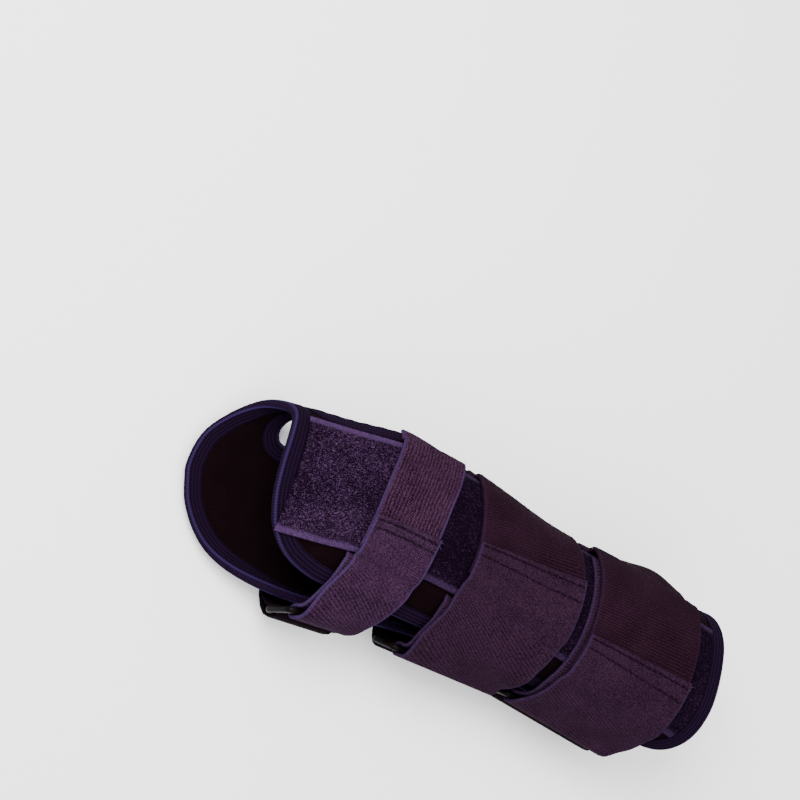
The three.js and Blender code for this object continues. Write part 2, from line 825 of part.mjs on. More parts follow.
function elasticGeometry(strap) {
  const frame = ringFrame(strap);
  const half = elasticThickness / 2;
  const joint = strap.joint * wristWidth;
  const overlapEnd = joint - strap.overlap * wristWidth;
  const low = tapeLow(strap);
  const fullUnder = strap.underEnd !== undefined;
  const lift = fullUnder ? layerStep : 0;
  const onTab = onTape + lift + tabThickness + clearance;
  const onUnder = onBinding + layerStep;
  const rough = edgeAround(palmEdge, frame.line.x, 0);
  const pastRing = frame.around + ringWidth - frame.backFoot + 3 * clearance;
  const edge = Math.max(rough - slantAt(strap, rough) - 2 * bindingThickness, pastRing);
  // Where the layer below comes down beside the loop tape
  const beside = low - slantAt(strap, low) - 5 * clearance;
  const landing = beside - layerFall;
  const tabFoot = overlapEnd - 2 * clearance;
  const tabRun = tabFoot - tabFall;
  const upperHeight = (around) =>
    Math.max(
      ramp(around, beside + 2, landing - clearance, onTape + lift, onUnder),
      ramp(around, tabFoot, tabRun, onTab, onTape + lift),
    );
  const underHeight = (around) =>
    ramp(around, beside, landing, fullUnder ? onTape : onWall, onBinding);
  const underEnd = fullUnder ? strap.underEnd * wristWidth : beside;
  const upperStops = [tabFoot, tabRun, beside + 2, landing - clearance];
  const upperEnd = edge + bindingWidth / 4;
  const upperRows = stations(joint, ...upperStops.sort((a, b) => b - a), upperEnd);
  const rows = upperRows.map((around) => strapRow(strap, around, upperHeight(around) + half));
  rows.push(...hairpin(frame, -1, strap.width, elasticThickness));
  const underStops = fullUnder ? [edge, landing, beside, underEnd] : [edge, landing, beside];
  const shiftAt = (around) => ramp(around, edge, landing, 0, -underShift);
  rows.push(
    ...stations(...underStops).map((around) =>
      strapRow(strap, around, underHeight(around) + half, shiftAt(around)),
    ),
  );
  return band(rows, elasticThickness);
}

function tabGeometry(strap) {
  const high = tapeLow(strap) + tapeWidth;
  const start = (strap.joint - strap.overlap) * wristWidth;
  const end = strap.tabEnd * wristWidth;
  const lift = strap.underEnd === undefined ? 0 : layerStep;
  const underEnd = lift > 0 ? strap.underEnd * wristWidth : 0;
  const leave = underEnd + slantAt(strap, underEnd) + 2 * clearance;
  const past = high + slantAt(strap, high) + 2 * clearance;
  const fall = lift > 0 ? Math.max(past, leave + layerFall + 2 * clearance) : past;
  const height = (around) => {
    const base = ramp(around, leave, leave + layerFall, onTape + lift, onTape);
    const drop = ramp(around, fall, fall + layerFall, 0, onTape - onBinding);
    const rise = ramp(around, fall + layerFall, end, 0, strap.tabLift);
    return base - drop + rise;
  };
  const knees = [fall, fall + layerFall];
  if (lift > 0) knees.push(leave, leave + layerFall);
  const stops = knees.filter((stop) => stop > start && stop < end);
  const rows = stations(start, ...stops.sort((a, b) => a - b), end).map((around) =>
    strapRow(strap, around, height(around) + tabThickness / 2),
  );
  return band(rows, tabThickness);
}

function holderGeometry(strap) {
  const frame = ringFrame(strap);
  const half = holderThickness / 2;
  const width = strap.width;
  const flapRow = (back, height) => {
    const points = [];
    for (let j = 0; j <= strapCellsAcross; j += 1) {
      const across = (j / strapCellsAcross - 0.5) * width;
      const x = frame.line.x + frame.line.dx * across + frame.line.dAround * back;
      const around = frame.around + frame.line.dAround * across - frame.line.dx * back;
      points.push(formPoint(x, around, height));
    }
    return points;
  };
  // The webbing stays above the binding, then comes down on the flap and is sewn there
  const inwards = intoMaterial(outlinePlaces);
  const reaches = outlinePlaces.map((place, i) => {
    const x = place.x + inwards[i].dx * bindingWidth;
    const across = (x - frame.line.x) / frame.line.dx;
    if (place.turn < 0.6 || Math.abs(across) > width / 2 + bindingWidth / 2) return 0;
    const girth = girthAt(place.x);
    const around = (place.turn - 1) * girth + inwards[i].dAround * bindingWidth;
    return frame.around + frame.line.dAround * across - around;
  });
  const pastBinding = Math.max(...reaches) + 3 * bindingPlay;
  const leave = Math.max(frame.backFoot + 2 * clearance, pastBinding);
  const near = leave + bindingWidth / 2;
  const far = near + holderReach;
  const height = (back) => ramp(back, leave, near, onBinding, onWall) + half;
  const step = holderThickness + clearance;
  const rows = stations(far, near, leave).map((back) => flapRow(back, height(back) + step));
  rows.push(...hairpin(frame, 1, width, holderThickness));
  rows.push(...stations(leave, near, far).map((back) => flapRow(back, height(back))));
  return band(rows, holderThickness);
}

// Assembly

const group = new THREE.Group();
group.name = 'wrist_splint';

function addMesh(name, geometry, look) {
  geometry.computeVertexNormals();
  const mesh = new THREE.Mesh(geometry, new THREE.MeshStandardMaterial(look));
  mesh.name = name;
  group.add(mesh);
}

const wall = toManifold(wallGeometry()).subtract(toManifold(thumbPlug()));
addMesh('splint_body', fromManifold(wall), looks.wrap);
addMesh('edge_binding', bindingAlong(outlinePlaces), looks.binding);
addMesh('thumb_binding', bindingAlong(thumbPlaces), looks.binding);
addMesh('loop_tape', tapeGeometry(), looks.pile);
for (const strap of straps) {
  addMesh(`strap_${strap.name}_elastic`, elasticGeometry(strap), looks.elastic);
  addMesh(`strap_${strap.name}_tab`, tabGeometry(strap), looks.tab);
  addMesh(`ring_${strap.name}`, ringGeometry(strap), looks.plastic);
  addMesh(`ring_holder_${strap.name}`, holderGeometry(strap), looks.webbing);
}

// Origin at the middle of the underside
const box = new THREE.Box3().setFromObject(group);
const centre = box.getCenter(new THREE.Vector3());
for (const mesh of group.children) {
  mesh.geometry.translate(-centre.x, -centre.y, -box.min.z);
}

export default group;
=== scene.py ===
# Wrist and forearm splint for a right hand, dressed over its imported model. Metres.
# X runs towards the elbow, Y towards the thumb, Z towards the palm side.
import math

import bpy
import numpy as np
from mathutils import Matrix, Vector
from mathutils.kdtree import KDTree


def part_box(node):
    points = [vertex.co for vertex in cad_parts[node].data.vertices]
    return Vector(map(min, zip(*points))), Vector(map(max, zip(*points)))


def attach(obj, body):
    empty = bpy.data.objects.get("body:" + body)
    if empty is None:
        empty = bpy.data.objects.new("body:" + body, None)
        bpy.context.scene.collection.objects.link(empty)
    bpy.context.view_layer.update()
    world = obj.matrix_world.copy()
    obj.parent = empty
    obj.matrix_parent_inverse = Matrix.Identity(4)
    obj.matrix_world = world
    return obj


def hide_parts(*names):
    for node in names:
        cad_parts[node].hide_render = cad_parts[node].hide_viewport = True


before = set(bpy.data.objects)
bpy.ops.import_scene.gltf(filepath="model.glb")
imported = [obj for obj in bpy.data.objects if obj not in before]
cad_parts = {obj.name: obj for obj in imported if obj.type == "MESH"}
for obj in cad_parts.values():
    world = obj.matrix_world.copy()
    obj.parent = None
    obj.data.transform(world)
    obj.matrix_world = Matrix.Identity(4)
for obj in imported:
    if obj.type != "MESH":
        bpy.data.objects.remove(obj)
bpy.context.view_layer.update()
bpy.ops.object.select_all(action="DESELECT")

# The space for the hand and forearm, as in the frame
form = {
    "length": 0.226,
    "wristWidth": 0.056,
    "wristHeight": 0.039,
    "roundAbove": 2.25,  # powers of the section's curve, over and under its widest line
    "roundBelow": 2.7,
    "belowShare": 0.46,  # of the height, under the widest line
    "wall": 0.0032,
    "gap": 0.0004,  # clearance between layers
}

# along, shift, half, under, tall: shares of the length, the wrist width and the wrist height
sectionRows = np.array([
    (-0.5, -0.093, 0.532, 0.069, 0.641),
    (-0.42, -0.068, 0.568, 0.018, 0.721),
    (-0.31, -0.009, 0.598, 0.023, 0.826),
    (-0.199, 0.062, 0.616, 0.049, 0.905),
    (-0.088, 0.08, 0.561, 0.064, 0.974),
    (0, 0.07, 0.51, 0.077, 1),
    (0.111, 0.042, 0.469, 0.077, 1.051),
    (0.265, 0.027, 0.482, 0.038, 1.154),
    (0.42, 0.005, 0.513, 0, 1.269),
    (0.5, -0.009, 0.536, 0.049, 1.269),
])


def smoothTable(rows, column, value):
    # Smooth curve through one column of a table, straight beyond its ends
    keys = rows[:, 0]
    values = rows[:, column]
    between = np.diff(values) / np.diff(keys)
    slopes = np.concatenate([between[:1], (between[:-1] + between[1:]) / 2, between[-1:]])
    value = np.asarray(value, float)
    i = np.clip(np.searchsorted(keys, value, side="right") - 1, 0, len(keys) - 2)
    span = keys[i + 1] - keys[i]
    t = np.clip((value - keys[i]) / span, 0, 1)
    u = 1 - t
    inside = values[i] * u * u * (1 + 2 * t) + values[i + 1] * t * t * (3 - 2 * t)
    inside = inside + slopes[i] * span * t * u * u - slopes[i + 1] * span * t * t * u
    before = slopes[0] * np.minimum(value - keys[0], 0)
    return inside + before + slopes[-1] * np.maximum(value - keys[-1], 0)


def smoothStep(value, start, end):
    t = np.clip((np.asarray(value, float) - start) / (end - start), 0, 1)
    return t * t * (3 - 2 * t)


def signedPower(value, power):
    return np.sign(value) * np.abs(value) ** power


class Form:
    # The inner surface of the wrap, as places along it and round it

    def __init__(self, stations=441, turns=720, angles=1440, reach=0.56):
        self.x = np.linspace(-reach, reach, stations) * form["length"]
        self.turns = turns
        self.girths = np.zeros(stations)
        self.grid = np.zeros((stations, turns + 1, 4))
        angle = np.linspace(0, 2 * math.pi, angles + 1)
        up, side = np.cos(angle), np.sin(angle)
        power = np.where(up >= 0, form["roundAbove"], form["roundBelow"])
        for k, x in enumerate(self.x):
            along = x / form["length"]
            shift, half = [float(smoothTable(sectionRows, c, along)) for c in (1, 2)]
            under, tall = [float(smoothTable(sectionRows, c, along)) for c in (3, 4)]
            below = tall * form["wristHeight"] * form["belowShare"]
            reach = np.where(up >= 0, tall * form["wristHeight"] - below, below)
            half *= form["wristWidth"]
            y = shift * form["wristWidth"] + half * signedPower(side, 2 / power)
            z = under * form["wristHeight"] + below + reach * signedPower(up, 2 / power)
            ny = signedPower(side, 2 - 2 / power) / half
            nz = signedPower(up, 2 - 2 / power) / reach
            length = np.concatenate([[0], np.cumsum(np.hypot(np.diff(y), np.diff(z)))])
            self.girths[k] = length[-1]
            even = np.linspace(0, length[-1], turns + 1)
            for c, values in enumerate((y, z, ny / np.hypot(ny, nz), nz / np.hypot(ny, nz))):
                self.grid[k, :, c] = np.interp(even, length, values)

    def girth(self, x):
        return np.interp(x, self.x, self.girths)

    def sample(self, x, around):
        x, around = np.broadcast_arrays(np.asarray(x, float), np.asarray(around, float))
        fx = (x - self.x[0]) / (self.x[1] - self.x[0])
        i = np.clip(np.floor(fx).astype(int), 0, len(self.x) - 2)
        tx = (fx - i)[..., None]
        fj = (around / self.girth(x)) % 1.0 * self.turns
        j = np.clip(np.floor(fj).astype(int), 0, self.turns - 1)
        tj = (fj - j)[..., None]
        grid = self.grid
        near = grid[i, j] * (1 - tj) + grid[i, j + 1] * tj
        far = grid[i + 1, j] * (1 - tj) + grid[i + 1, j + 1] * tj
        return x, near * (1 - tx) + far * tx

    def point(self, x, around, height=0.0):
        x, values = self.sample(x, around)
        outward = values[..., 2:] / np.linalg.norm(values[..., 2:], axis=-1, keepdims=True)
        place = values[..., :2] + outward * np.asarray(height, float)[..., None]
        return np.concatenate([x[..., None], place], axis=-1)

    def outward(self, x, around):
        x, values = self.sample(x, around)
        out = np.concatenate([np.zeros_like(x)[..., None], values[..., 2:]], axis=-1)
        return out / np.linalg.norm(out, axis=-1, keepdims=True)


shape = Form()
middleGirth = float(shape.girth(0.0))
print("form ready, girth at the wrist %.1f mm" % (middleGirth * 1000))

# Edge of the wrap, a closed line: along, and turn as the share of the girth from the palm
# middle towards the thumb
outline = {
    "rows": [
        (-0.365, -0.081), (-0.332, -0.124), (-0.276, -0.154), (-0.208, -0.165),
        (-0.093, -0.179), (0.062, -0.194), (0.217, -0.2), (0.35, -0.202), (0.407, -0.192),
        (0.462, -0.168), (0.486, -0.12), (0.495, -0.035), (0.489, 0.078), (0.489, 0.19),
        (0.491, 0.325), (0.493, 0.5), (0.491, 0.591), (0.48, 0.663),
        (0.454, 0.7), (0.403, 0.708), (0.261, 0.698), (0.084, 0.696), (-0.093, 0.724),
        (-0.23, 0.734), (-0.341, 0.705), (-0.42, 0.662),
        (-0.471, 0.591), (-0.493, 0.526), (-0.5, 0.493), (-0.496, 0.405), (-0.473, 0.345),
        (-0.44, 0.291), (-0.412, 0.248), (-0.398, 0.205), (-0.398, 0.147), (-0.398, 0.077),
        (-0.392, 0.013), (-0.381, -0.038),
    ],
    "corners": (0, 9, 18, 26),
}

# Edge of the thumb hole, in the same shares
thumbHole = [
    (-0.345, 0.238), (-0.367, 0.282), (-0.381, 0.335), (-0.369, 0.37), (-0.338, 0.384),
    (-0.29, 0.385), (-0.236, 0.375), (-0.186, 0.36), (-0.146, 0.334), (-0.13, 0.29),
    (-0.145, 0.246), (-0.185, 0.226), (-0.243, 0.22), (-0.301, 0.224),
]


def closedLine(rows):
    # Centripetal curve through the rows, as a function of the share of its points
    points = np.array([(a * form["length"], t * middleGirth) for a, t in rows])

    def at(share):
        share = np.asarray(share, float) % 1.0 * len(points)
        i = np.floor(share).astype(int)
        t = (share - i)[..., None]
        p = [points[(i + k) % len(points)] for k in (-1, 0, 1, 2)]
        step = [np.linalg.norm(p[k + 1] - p[k], axis=-1, keepdims=True) ** 0.5 for k in range(3)]
        start = (p[1] - p[0]) / step[0] - (p[2] - p[0]) / (step[0] + step[1])
        start = (start + (p[2] - p[1]) / step[1]) * step[1]
        end = (p[2] - p[1]) / step[1] - (p[3] - p[1]) / (step[1] + step[2])
        end = (end + (p[3] - p[2]) / step[2]) * step[1]
        bend = -3 * p[1] + 3 * p[2] - 2 * start - end
        twist = 2 * p[1] - 2 * p[2] + start + end
        return p[1] + start * t + bend * t**2 + twist * t**3

    return at


def stretch(line, start, end, count, samples=4001):
    # Evenly spaced places on a stretch of a closed line: x and turn
    fine = line(np.linspace(start, end, samples))
    x, turn = fine[:, 0], fine[:, 1] / middleGirth
    step = np.hypot(np.diff(x), np.diff(turn) * shape.girth(x[1:]))
    length = np.concatenate([[0], np.cumsum(step)])
    even = np.linspace(0, length[-1], count + 1)
    return np.stack([np.interp(even, length, x), np.interp(even, length, turn)], axis=-1)


outlineLine = closedLine(outline["rows"])
cornerShares = [c / len(outline["rows"]) for c in outline["corners"]]


def outlineEdges(cellsAlong, cellsAround):
    front, elbow, backElbow, backFront = cornerShares
    palm = stretch(outlineLine, front, elbow, cellsAlong)
    elbowEnd = stretch(outlineLine, elbow, backElbow, cellsAround)
    back = stretch(outlineLine, backElbow, backFront, cellsAlong)[::-1]
    fingers = stretch(outlineLine, backFront, 1 + front, cellsAround)[::-1]
    return palm, elbowEnd, back, fingers


outlineSides = outlineEdges(250, 300)
palmEdge, backEdge = outlineSides[0], outlineSides[2]


def edgeAround(edge, x, turns=0):
    # Distance round the wrap at which an edge lies at x
    order = np.argsort(edge[:, 0], kind="stable")
    return (np.interp(x, edge[order, 0], edge[order, 1]) - turns) * shape.girth(x)


def tapeLow(x):
    return smoothTable(tapeRows, 1, x / form["length"]) * form["wristWidth"]


def tapeHigh(x):
    return tapeLow(x) + tape["width"] * form["wristWidth"]


# The rings are exact in the frame, so their middles give the form its place there
def frameMiddle(node):
    low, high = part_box(node)
    return (np.array(low) + np.array(high)) / 2


straps = {
    "palmWidth": 0.122,  # widths, the place and the gaps are shares of the length
    "wideWidth": 0.217,
    "wristPlace": 0.066,
    "palmGap": 0.069,
    "forearmGap": 0.032,
    "elastic": 0.0014,  # thickness
    "tab": 0.0018,
    "underShift": 0.002,  # of the layer below, towards the fingers
    # Stitch rows, from the sewn end
    "seam": {"palm": (0.0021, 0.0054), "wrist": (0.0022, 0.0072), "forearm": (0.0022, 0.0072)},
    "selvedge": 0.0009,
    "tabDrop": 0.0023,  # how far a tab comes down past the loop tape
    "tabFall": 0.0032,  # and the run in which it does
    "waveRun": 0.016,  # length of a tab's loose end that lifts
    "probe": 0.01,  # turn over which the drift's slope is taken
}
ring = {
    "thick": 0.0026,
    "bar": 0.0036,  # width of the long bars
    "wide": 0.017,
    "endBar": 0.0028,
    "side": 0.0009,  # play at each side of the strap
    "corner": 0.0035,
    "round": 0.0011,
    "holder": 0.001,  # thickness of its webbing
    "height": 0.0054,  # least height of the palm side over the form
    "holderReach": 0.006,
    "footShare": 0.8,  # of the width, from the back bar's foot to the palm side's
    "hugShare": 0.6,  # of the gap, left between a bar and the band round it
    "turnPast": 0.0007,  # from the bar's inner edge to the middle of the bend
}
binding = {"width": 0.0055, "thick": 0.0009, "play": 0.0005}
tape = {
    "width": 0.786,  # share of the wrist width
    "thick": 0.0016,
    "cutLow": -0.0838,  # x of the finger-end cut, at the tape's two edges
    "cutHigh": -0.0855,
    "shadeFrom": 0.04,  # from the finger end, past which the pile is painted darker as shade beyond the palm strap
}
# The loop tape's lower edge: along, and place round as a share of the wrist width
tapeRows = np.array([(-0.5, -0.25), (0.15, -0.255), (0.3, -0.31), (0.46, -0.385)])

wideWidth = straps["wideWidth"] * form["length"]
palmWidth = straps["palmWidth"] * form["length"]
wristMiddle = straps["wristPlace"] * form["length"]
palmMiddle = wristMiddle - (wideWidth + palmWidth) / 2 - straps["palmGap"] * form["length"]
forearmMiddle = wristMiddle + wideWidth + straps["forearmGap"] * form["length"]
onWall = form["wall"] + form["gap"]
onTape = onWall + tape["thick"] + form["gap"]
onBinding = form["wall"] + binding["play"] + binding["thick"] + 2 * form["gap"]
layerStep = straps["elastic"] + form["gap"]


class Strap:
    # The middle line of a strap, its rows across, and the ring that it passes through. Joint,
    # overlap, tab end and under end are shares of the wrist width, round from the palm middle.

    def __init__(self, name, width, middle, joint, overlap, tabEnd, drift, underEnd=None, wave=None):
        wrist = form["wristWidth"]
        self.name = name
        self.width = width
        self.middle = middle
        self.joint = joint * wrist
        self.overlapEnd = (joint - overlap) * wrist
        self.tabEnd = tabEnd * wrist
        self.wave = wave
        self.underEnd = None if underEnd is None else underEnd * wrist
        self.drift = np.array(drift)
        self.girth = float(shape.girth(middle))
        self.low = float(smoothTable(tapeRows, 1, middle / form["length"])) * wrist
        self.placeRing()

    def drifted(self, turn):
        return smoothTable(self.drift, 1, turn) * self.width

    def line(self, around):
        # Place of the middle line along the wrap, and its direction across
        turn = np.asarray(around, float) / self.girth
        near = straps["probe"]
        slope = (self.drifted(turn + near) - self.drifted(turn - near)) / (2 * near * self.girth)
        size = np.hypot(1, slope)
        return self.middle + self.drifted(turn), 1 / size, -slope / size

    def row(self, around, across, height):
        x, dx, dAround = self.line(around)
        return shape.point(x + dx * across, around + dAround * across, height)

    def slant(self, around):
        # How far the strap's edges run ahead of its middle line
        return abs(float(self.line(around)[2])) * self.width / 2

    def placeRing(self):
        # Lays the ring on the back flap's edge and lifts it until nothing below touches it
        rough = float(edgeAround(backEdge, self.middle, 1))
        around = float(edgeAround(backEdge, float(self.line(rough)[0]), 1))
        x, dx, dAround = [float(v) for v in self.line(around)]
        length = self.width + 2 * (ring["side"] + ring["endBar"])
        onWebbing = onBinding + ring["holder"] + form["gap"]

        def place(share, back, height):
            across = share * length / 2
            at = (x + dx * across + dAround * back, around + dAround * across - dx * back)
            return shape.point(at[0], at[1], height)

        foot = ring["bar"]
        palmFoot = foot - ring["wide"] * ring["footShare"]
        bar = place(1, (foot + palmFoot) / 2, 0) - place(-1, (foot + palmFoot) / 2, 0)
        bar /= np.linalg.norm(bar)
        backPoint = place(0, foot, onWebbing)
        towardsBack = backPoint - place(0, palmFoot, ring["height"])
        towardsBack -= bar * towardsBack.dot(bar)
        towardsBack /= np.linalg.norm(towardsBack)
        normal = np.cross(bar, towardsBack)
        if normal.dot(shape.outward(x, around)) < 0:
            normal = -normal
        lifts = []
        for share in (-1, -0.5, 0, 0.5, 1):
            lifts += [place(share, back * foot, onWebbing) for back in (1, 0.5, 0)]
            lifts.append(place(share, palmFoot, ring["height"]))
        lift = max((point - backPoint).dot(normal) for point in lifts)
        self.bar, self.towardsBack, self.normal = bar, towardsBack, normal
        self.centre = backPoint - towardsBack * ring["wide"] / 2
        self.centre = self.centre + normal * (lift + ring["thick"] / 2)
        self.ringLength, self.around, self.ringX = length, around, x
        self.dx, self.dAround = dx, dAround

    def atRing(self, along, back, up):
        # Points given along the ring's bars, towards the back flap and out of its plane
        along, back, up = [np.asarray(v, float)[..., None] for v in (along, back, up)]
        return self.centre + self.bar * along + self.towardsBack * back + self.normal * up


# Drift is turn and share of the width, wave is share of the width and lift
palmStrap = Strap(
    "palm", palmWidth, palmMiddle, joint=0.027, overlap=0.232, tabEnd=0.652,
    drift=[(-0.3, -0.45), (-0.233, -0.31), (-0.165, -0.16), (-0.1, -0.04), (-0.011, 0),
           (0.089, 0.03), (0.212, 0.18)])
wristStrap = Strap(
    "wrist", wideWidth, wristMiddle, joint=0.177, overlap=0.266, tabEnd=0.75,
    drift=[(-0.3, -0.125), (-0.255, -0.105), (-0.195, -0.07), (-0.13, -0.03), (-0.059, 0),
           (0.059, -0.005), (0.178, -0.07), (0.26, -0.11)])
forearmStrap = Strap(
    "forearm", wideWidth, forearmMiddle, joint=-0.033, overlap=0.266, tabEnd=0.74,
    drift=[(-0.3, -0.065), (-0.241, -0.06), (-0.191, -0.05), (-0.112, -0.02), (-0.028, 0),
           (0.056, -0.012), (0.157, -0.04), (0.237, -0.04)],
    underEnd=0.465,
    wave=[(-0.5, 0.0017), (-0.25, 0.0017), (0, 0.0036), (0.25, 0.005), (0.5, 0.0016)])
allStraps = [palmStrap, wristStrap, forearmStrap]

formPlace = np.mean([frameMiddle("ring_" + s.name) - s.centre for s in allStraps], axis=0)
print("form placed at", np.round(formPlace * 1000, 2))
for strap in allStraps:
    missed = frameMiddle("ring_" + strap.name) - strap.centre - formPlace
    print("ring", strap.name, "differs by", np.round(missed * 1000, 2), "mm")


# Meshes from grids, each with its place on the cloth as an attribute
def meshPiece(name, points, quads, cloth):
    points = np.asarray(points, float).reshape(-1, 3) + formPlace
    quads = np.asarray(quads, np.int32).reshape(-1, 4)
    mesh = bpy.data.meshes.new(name)
    mesh.vertices.add(len(points))
    mesh.vertices.foreach_set("co", points.ravel())
    mesh.loops.add(quads.size)
    mesh.loops.foreach_set("vertex_index", quads.ravel())
    mesh.polygons.add(len(quads))
    mesh.polygons.foreach_set("loop_start", np.arange(0, quads.size, 4, dtype=np.int32))
    mesh.update(calc_edges=True)
    a, b, c = [points[quads[:, k]] for k in (0, 1, 2)]
    d = points[quads[:, 3]]
    volume = np.einsum("ij,ij->", a, np.cross(b, c)) + np.einsum("ij,ij->", a, np.cross(c, d))
    if volume < 0:
        mesh.flip_normals()
    layer = mesh.attributes.new("cloth", "FLOAT_VECTOR", "POINT")
    layer.data.foreach_set("vector", np.asarray(cloth, float).ravel())
    mesh.polygons.foreach_set("use_smooth", np.ones(len(quads), bool))
    mesh.validate()
    piece = bpy.data.objects.new(name, mesh)
    bpy.context.scene.collection.objects.link(piece)
    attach(piece, "root")
    return piece


def tubeQuads(rows, ring, closed):
    # Quads of a tube of rings, with both ends closed by strips unless it closes on itself
    i = np.arange(rows if closed else rows - 1)[:, None]
    j = np.arange(ring)[None, :]
    a = i * ring + j
    b = ((i + 1) % rows) * ring + j
    c = ((i + 1) % rows) * ring + (j + 1) % ring
    d = i * ring + (j + 1) % ring
    quads = [np.stack([a, b, c, d], axis=-1).reshape(-1, 4)]
    if not closed:
        half = ring // 2
        k = np.arange(half - 1)
        for start, flip in ((0, False), ((rows - 1) * ring, True)):
            cap = np.stack([k, k + 1, ring - 2 - k, ring - 1 - k], axis=-1) + start
            quads.append(cap[:, ::-1] if flip else cap)
    return np.concatenate(quads)


def acrossStops(width, step, radius):
    # Places across a band, closer together on its rounded edges
    rim = radius * (1 - np.cos(np.linspace(0, math.pi / 2, 5)))
    inner = np.linspace(radius, width - radius, max(2, int(round((width - 2 * radius) / step)) + 1))
    return np.concatenate([rim[:-1], inner, width - rim[:-1][::-1]]) - width / 2


# Rounding of a band's edges, and the least share of its thickness, at its sides and ends
band = {"round": 0.0006, "sideShare": 0.02, "endShare": 0.1}


def bandPiece(name, rowAt, lengths, width, thick, step, relief=None, radius=band["round"]):
    # Band about its middle surface: rowAt gives its rows at places across it, lengths the
    # distance of each row from the start, relief the extra height of its outer face
    across = acrossStops(width, step, radius)
    grid = rowAt(across)
    rows, columns = grid.shape[:2]
    along = np.gradient(grid, axis=0)
    side = np.gradient(grid, axis=1)
    normal = np.cross(along, side)
    normal /= np.linalg.norm(normal, axis=-1, keepdims=True)
    rim = np.clip((width / 2 - np.abs(across)) / radius, 0, 1)
    rimHeight = np.sqrt(np.clip(1 - (1 - rim) ** 2, band["sideShare"], 1))[None, :]
    endRim = np.clip(np.minimum(lengths - lengths[0], lengths[-1] - lengths) / radius, 0, 1)
    endHeight = np.sqrt(np.clip(1 - (1 - endRim) ** 2, band["endShare"], 1))[:, None]
    half = thick / 2 * rimHeight * endHeight
    u = np.broadcast_to(lengths[:, None], (rows, columns))
    v = np.broadcast_to(across[None, :], (rows, columns))
    lift = 0 if relief is None else relief(u, v) * rimHeight
    upper = grid + normal * (half + lift)[..., None]
    lower = grid - normal * half[..., None]
    points = np.concatenate([upper, lower[:, ::-1]], axis=1)
    cloth = np.stack([u, v, width / 2 - np.abs(v)], axis=-1)
    cloth = np.concatenate([cloth, cloth[:, ::-1]], axis=1)
    quads = tubeQuads(rows, 2 * columns, False)
    return meshPiece(name, points, quads, cloth)


def rowLengths(points):
    return np.concatenate([[0], np.cumsum(np.linalg.norm(np.diff(points, axis=0), axis=1))])


def noiseField(shapeOf, cell, seed):
    # Smooth seeded noise on a grid of the given shape, one lump every cell samples
    maker = np.random.default_rng(seed)
    counts = [int(math.ceil(n / cell)) + 3 for n in shapeOf]
    coarse = maker.uniform(-1, 1, counts)
    fi, fj = [np.arange(n) / cell for n in shapeOf]
    i, j = np.floor(fi).astype(int), np.floor(fj).astype(int)
    ti, tj = smoothStep(fi - i, 0, 1)[:, None], smoothStep(fj - j, 0, 1)[None, :]
    a, b = coarse[np.ix_(i, j)], coarse[np.ix_(i, j + 1)]
    c, d = coarse[np.ix_(i + 1, j)], coarse[np.ix_(i + 1, j + 1)]
    return (a * (1 - tj) + b * tj) * (1 - ti) + (c * (1 - tj) + d * tj) * ti


# Materials
class Number:
    # A number that varies over the surface: sums and products add Math nodes

    def __init__(self, finish, socket):
        self.finish = finish
        self.socket = socket

    def __add__(self, other):
        return self.finish.math("ADD", self, other)

    __radd__ = __add__

    def __sub__(self, other):
        return self.finish.math("SUBTRACT", self, other)

    def __rsub__(self, other):
        return self.finish.math("SUBTRACT", other, self)

    def __mul__(self, other):
        return self.finish.math("MULTIPLY", self, other)

    __rmul__ = __mul__


